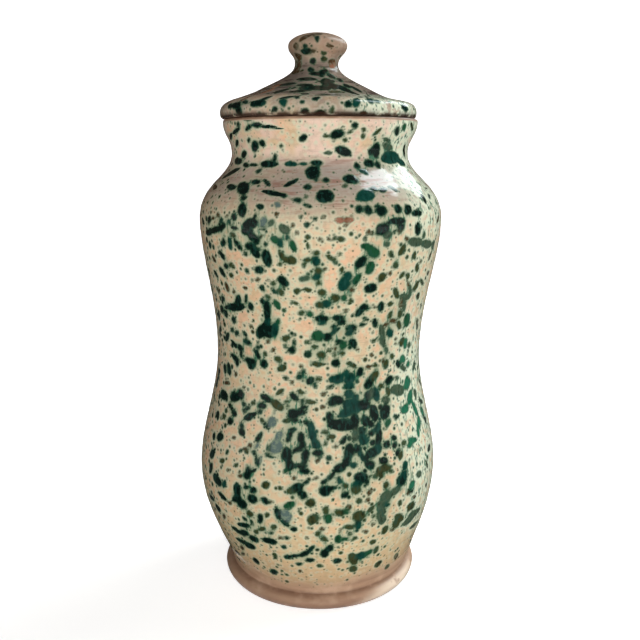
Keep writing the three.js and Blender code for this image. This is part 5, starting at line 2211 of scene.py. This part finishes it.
    def band(self, radius: float, segments: int) -> tuple[bmesh.types.BMesh, list[bmesh.types.BMVert]]:
        """Starts a band round the jar.

        Args:
            radius: Its radius, in metres.
            segments: Number of its sides.

        Returns:
            The sheet and the vertices of its free edge, which still lie on the others.
        """
        sheet = bmesh.new()
        ring = bmesh.ops.create_circle(sheet, cap_ends=False, segments=segments, radius=radius)["verts"]
        edges = list({edge for vertex in ring for edge in vertex.link_edges})
        return sheet, self.raised(sheet, edges)

    @staticmethod
    def hide(sheet: bpy.types.Object, *rays: str) -> None:
        """Hides a sheet from some kinds of ray."""
        for ray in rays:
            setattr(sheet, "visible_" + ray, False)

    def face_jar(self, sheet: bmesh.types.BMesh) -> None:
        """Turns a sheet's faces towards the middle of the jar.

        Args:
            sheet: The sheet.
        """
        turned = [face for face in sheet.faces
                  if face.normal.dot(self.target - face.calc_center_median()) < 0.0]
        bmesh.ops.reverse_faces(sheet, faces=turned)

    def flag(self) -> None:
        """Adds the ring of dark felt round the jar, which only the glaze mirrors."""
        sheet, outer = self.band(self.flag_inner, segments=48)
        grow = self.flag_outer / self.flag_inner
        bmesh.ops.scale(sheet, verts=outer, vec=(grow, grow, 1.0))
        bmesh.ops.translate(sheet, verts=sheet.verts[:], vec=(0.0, 0.0, MM))
        self.mirrored_only(self.place("felt_flag", sheet), "dark_felt", "ShaderNodeBsdfDiffuse", self.felt)

    def screen(self) -> None:
        """Adds the brown screen round the back, which only the glaze mirrors, so that its edge is dark."""
        sheet, top = self.band(self.screen_radius, segments=64)
        bmesh.ops.translate(sheet, verts=top, vec=(0.0, 0.0, self.screen_height))
        bmesh.ops.bisect_plane(sheet, geom=sheet.verts[:] + sheet.edges[:] + sheet.faces[:],
                               plane_co=MIDDLE, plane_no=(0.0, -1.0, 0.0), clear_outer=True)
        self.mirrored_only(self.place("brown_screen", sheet), "brown_cloth", "ShaderNodeEmission", self.cloth)

    def mirrored_only(self, sheet: bpy.types.Object, name: str, shader: str, colour: Colour) -> None:
        """Gives a sheet its cloth and hides it from all but reflections.

        Args:
            sheet: The sheet.
            name: Name of the cloth.
            shader: Type of its shader.
            colour: Its colour.
        """
        cloth = bpy.data.materials.new(name)
        bench = Bench(cloth)
        bench.finish(bench.node(shader, None, {"Color": colour}))
        sheet.data.materials.append(cloth)
        self.hide(sheet, "camera", "diffuse", "transmission", "shadow")

    def place(self, name: str, sheet: bmesh.types.BMesh) -> bpy.types.Object:
        """Adds a sheet to the studio.

        Args:
            name: Name of the object.
            sheet: Its mesh, which is used up.

        Returns:
            The object.
        """
        mesh = bpy.data.meshes.new(name)
        sheet.to_mesh(mesh)
        sheet.free()
        mesh.shade_smooth()
        holder = bpy.data.objects.new(name, mesh)
        bpy.context.scene.collection.objects.link(holder)
        return holder

    def paper(self) -> bpy.types.Material:
        """Makes the paper, which looks white where it is seen or mirrored and clear from behind.

        Returns:
            The material.
        """
        material = bpy.data.materials.new("pale_paper")
        bench = Bench(material)
        rays = [bench.node("ShaderNodeLightPath", result=name)
                for name in ("Is Camera Ray", "Is Glossy Ray", "Is Transmission Ray")]
        shown = (rays[0] + rays[1] + rays[2]).at_most(1.0)
        away = bench.node("ShaderNodeVectorMath", {"operation": "LENGTH"}, {0: bench.place()}, "Value")
        light = bench.rise(away, *self.glow_reach, share=1.0 - self.glow) + self.glow
        glow = bench.node("ShaderNodeEmission", None, {"Color": (1.0, 1.0, 1.0), "Strength": shown * light})
        matt = bench.node("ShaderNodeBsdfDiffuse", None, {"Color": self.paint})
        lit = bench.node("ShaderNodeAddShader", None, {0: matt, 1: glow})
        clear = bench.node("ShaderNodeBsdfTransparent")
        behind = bench.node("ShaderNodeNewGeometry", result="Backfacing") * rays[0]
        bench.finish(bench.node("ShaderNodeMixShader", None, {0: behind, 1: lit, 2: clear}))
        return material


def main() -> None:
    """Builds the jar, its lid and the studio around them."""
    logging.basicConfig(level=logging.INFO, format="%(name)s: %(message)s")
    bpy.context.scene.view_settings.view_transform = "Standard"
    view = Viewpoint()
    view.build()
    parts = (JarBody(), JarLid())
    pieces = [part.build() for part in parts]
    trees = [piece.tree() for piece in pieces]
    spatter = Spatter(view)
    dice = random.Random(spatter.seed)
    landed = spatter.seen(trees)
    for part, tree, splashes in zip(parts, trees, landed):
        for zone in part.zones():
            splashes += spatter.unseen(dice, tree, zone)
    for part, piece, splashes in zip(parts, pieces, landed):
        spatter.mark(piece, spatter.branch(dice, splashes))
        part.dress(piece)
        log.info("%s: %d vertices, %d splashes", piece.object.name, len(piece.places), len(splashes))
    Studio().build()


if __name__ == "__main__":
    main()
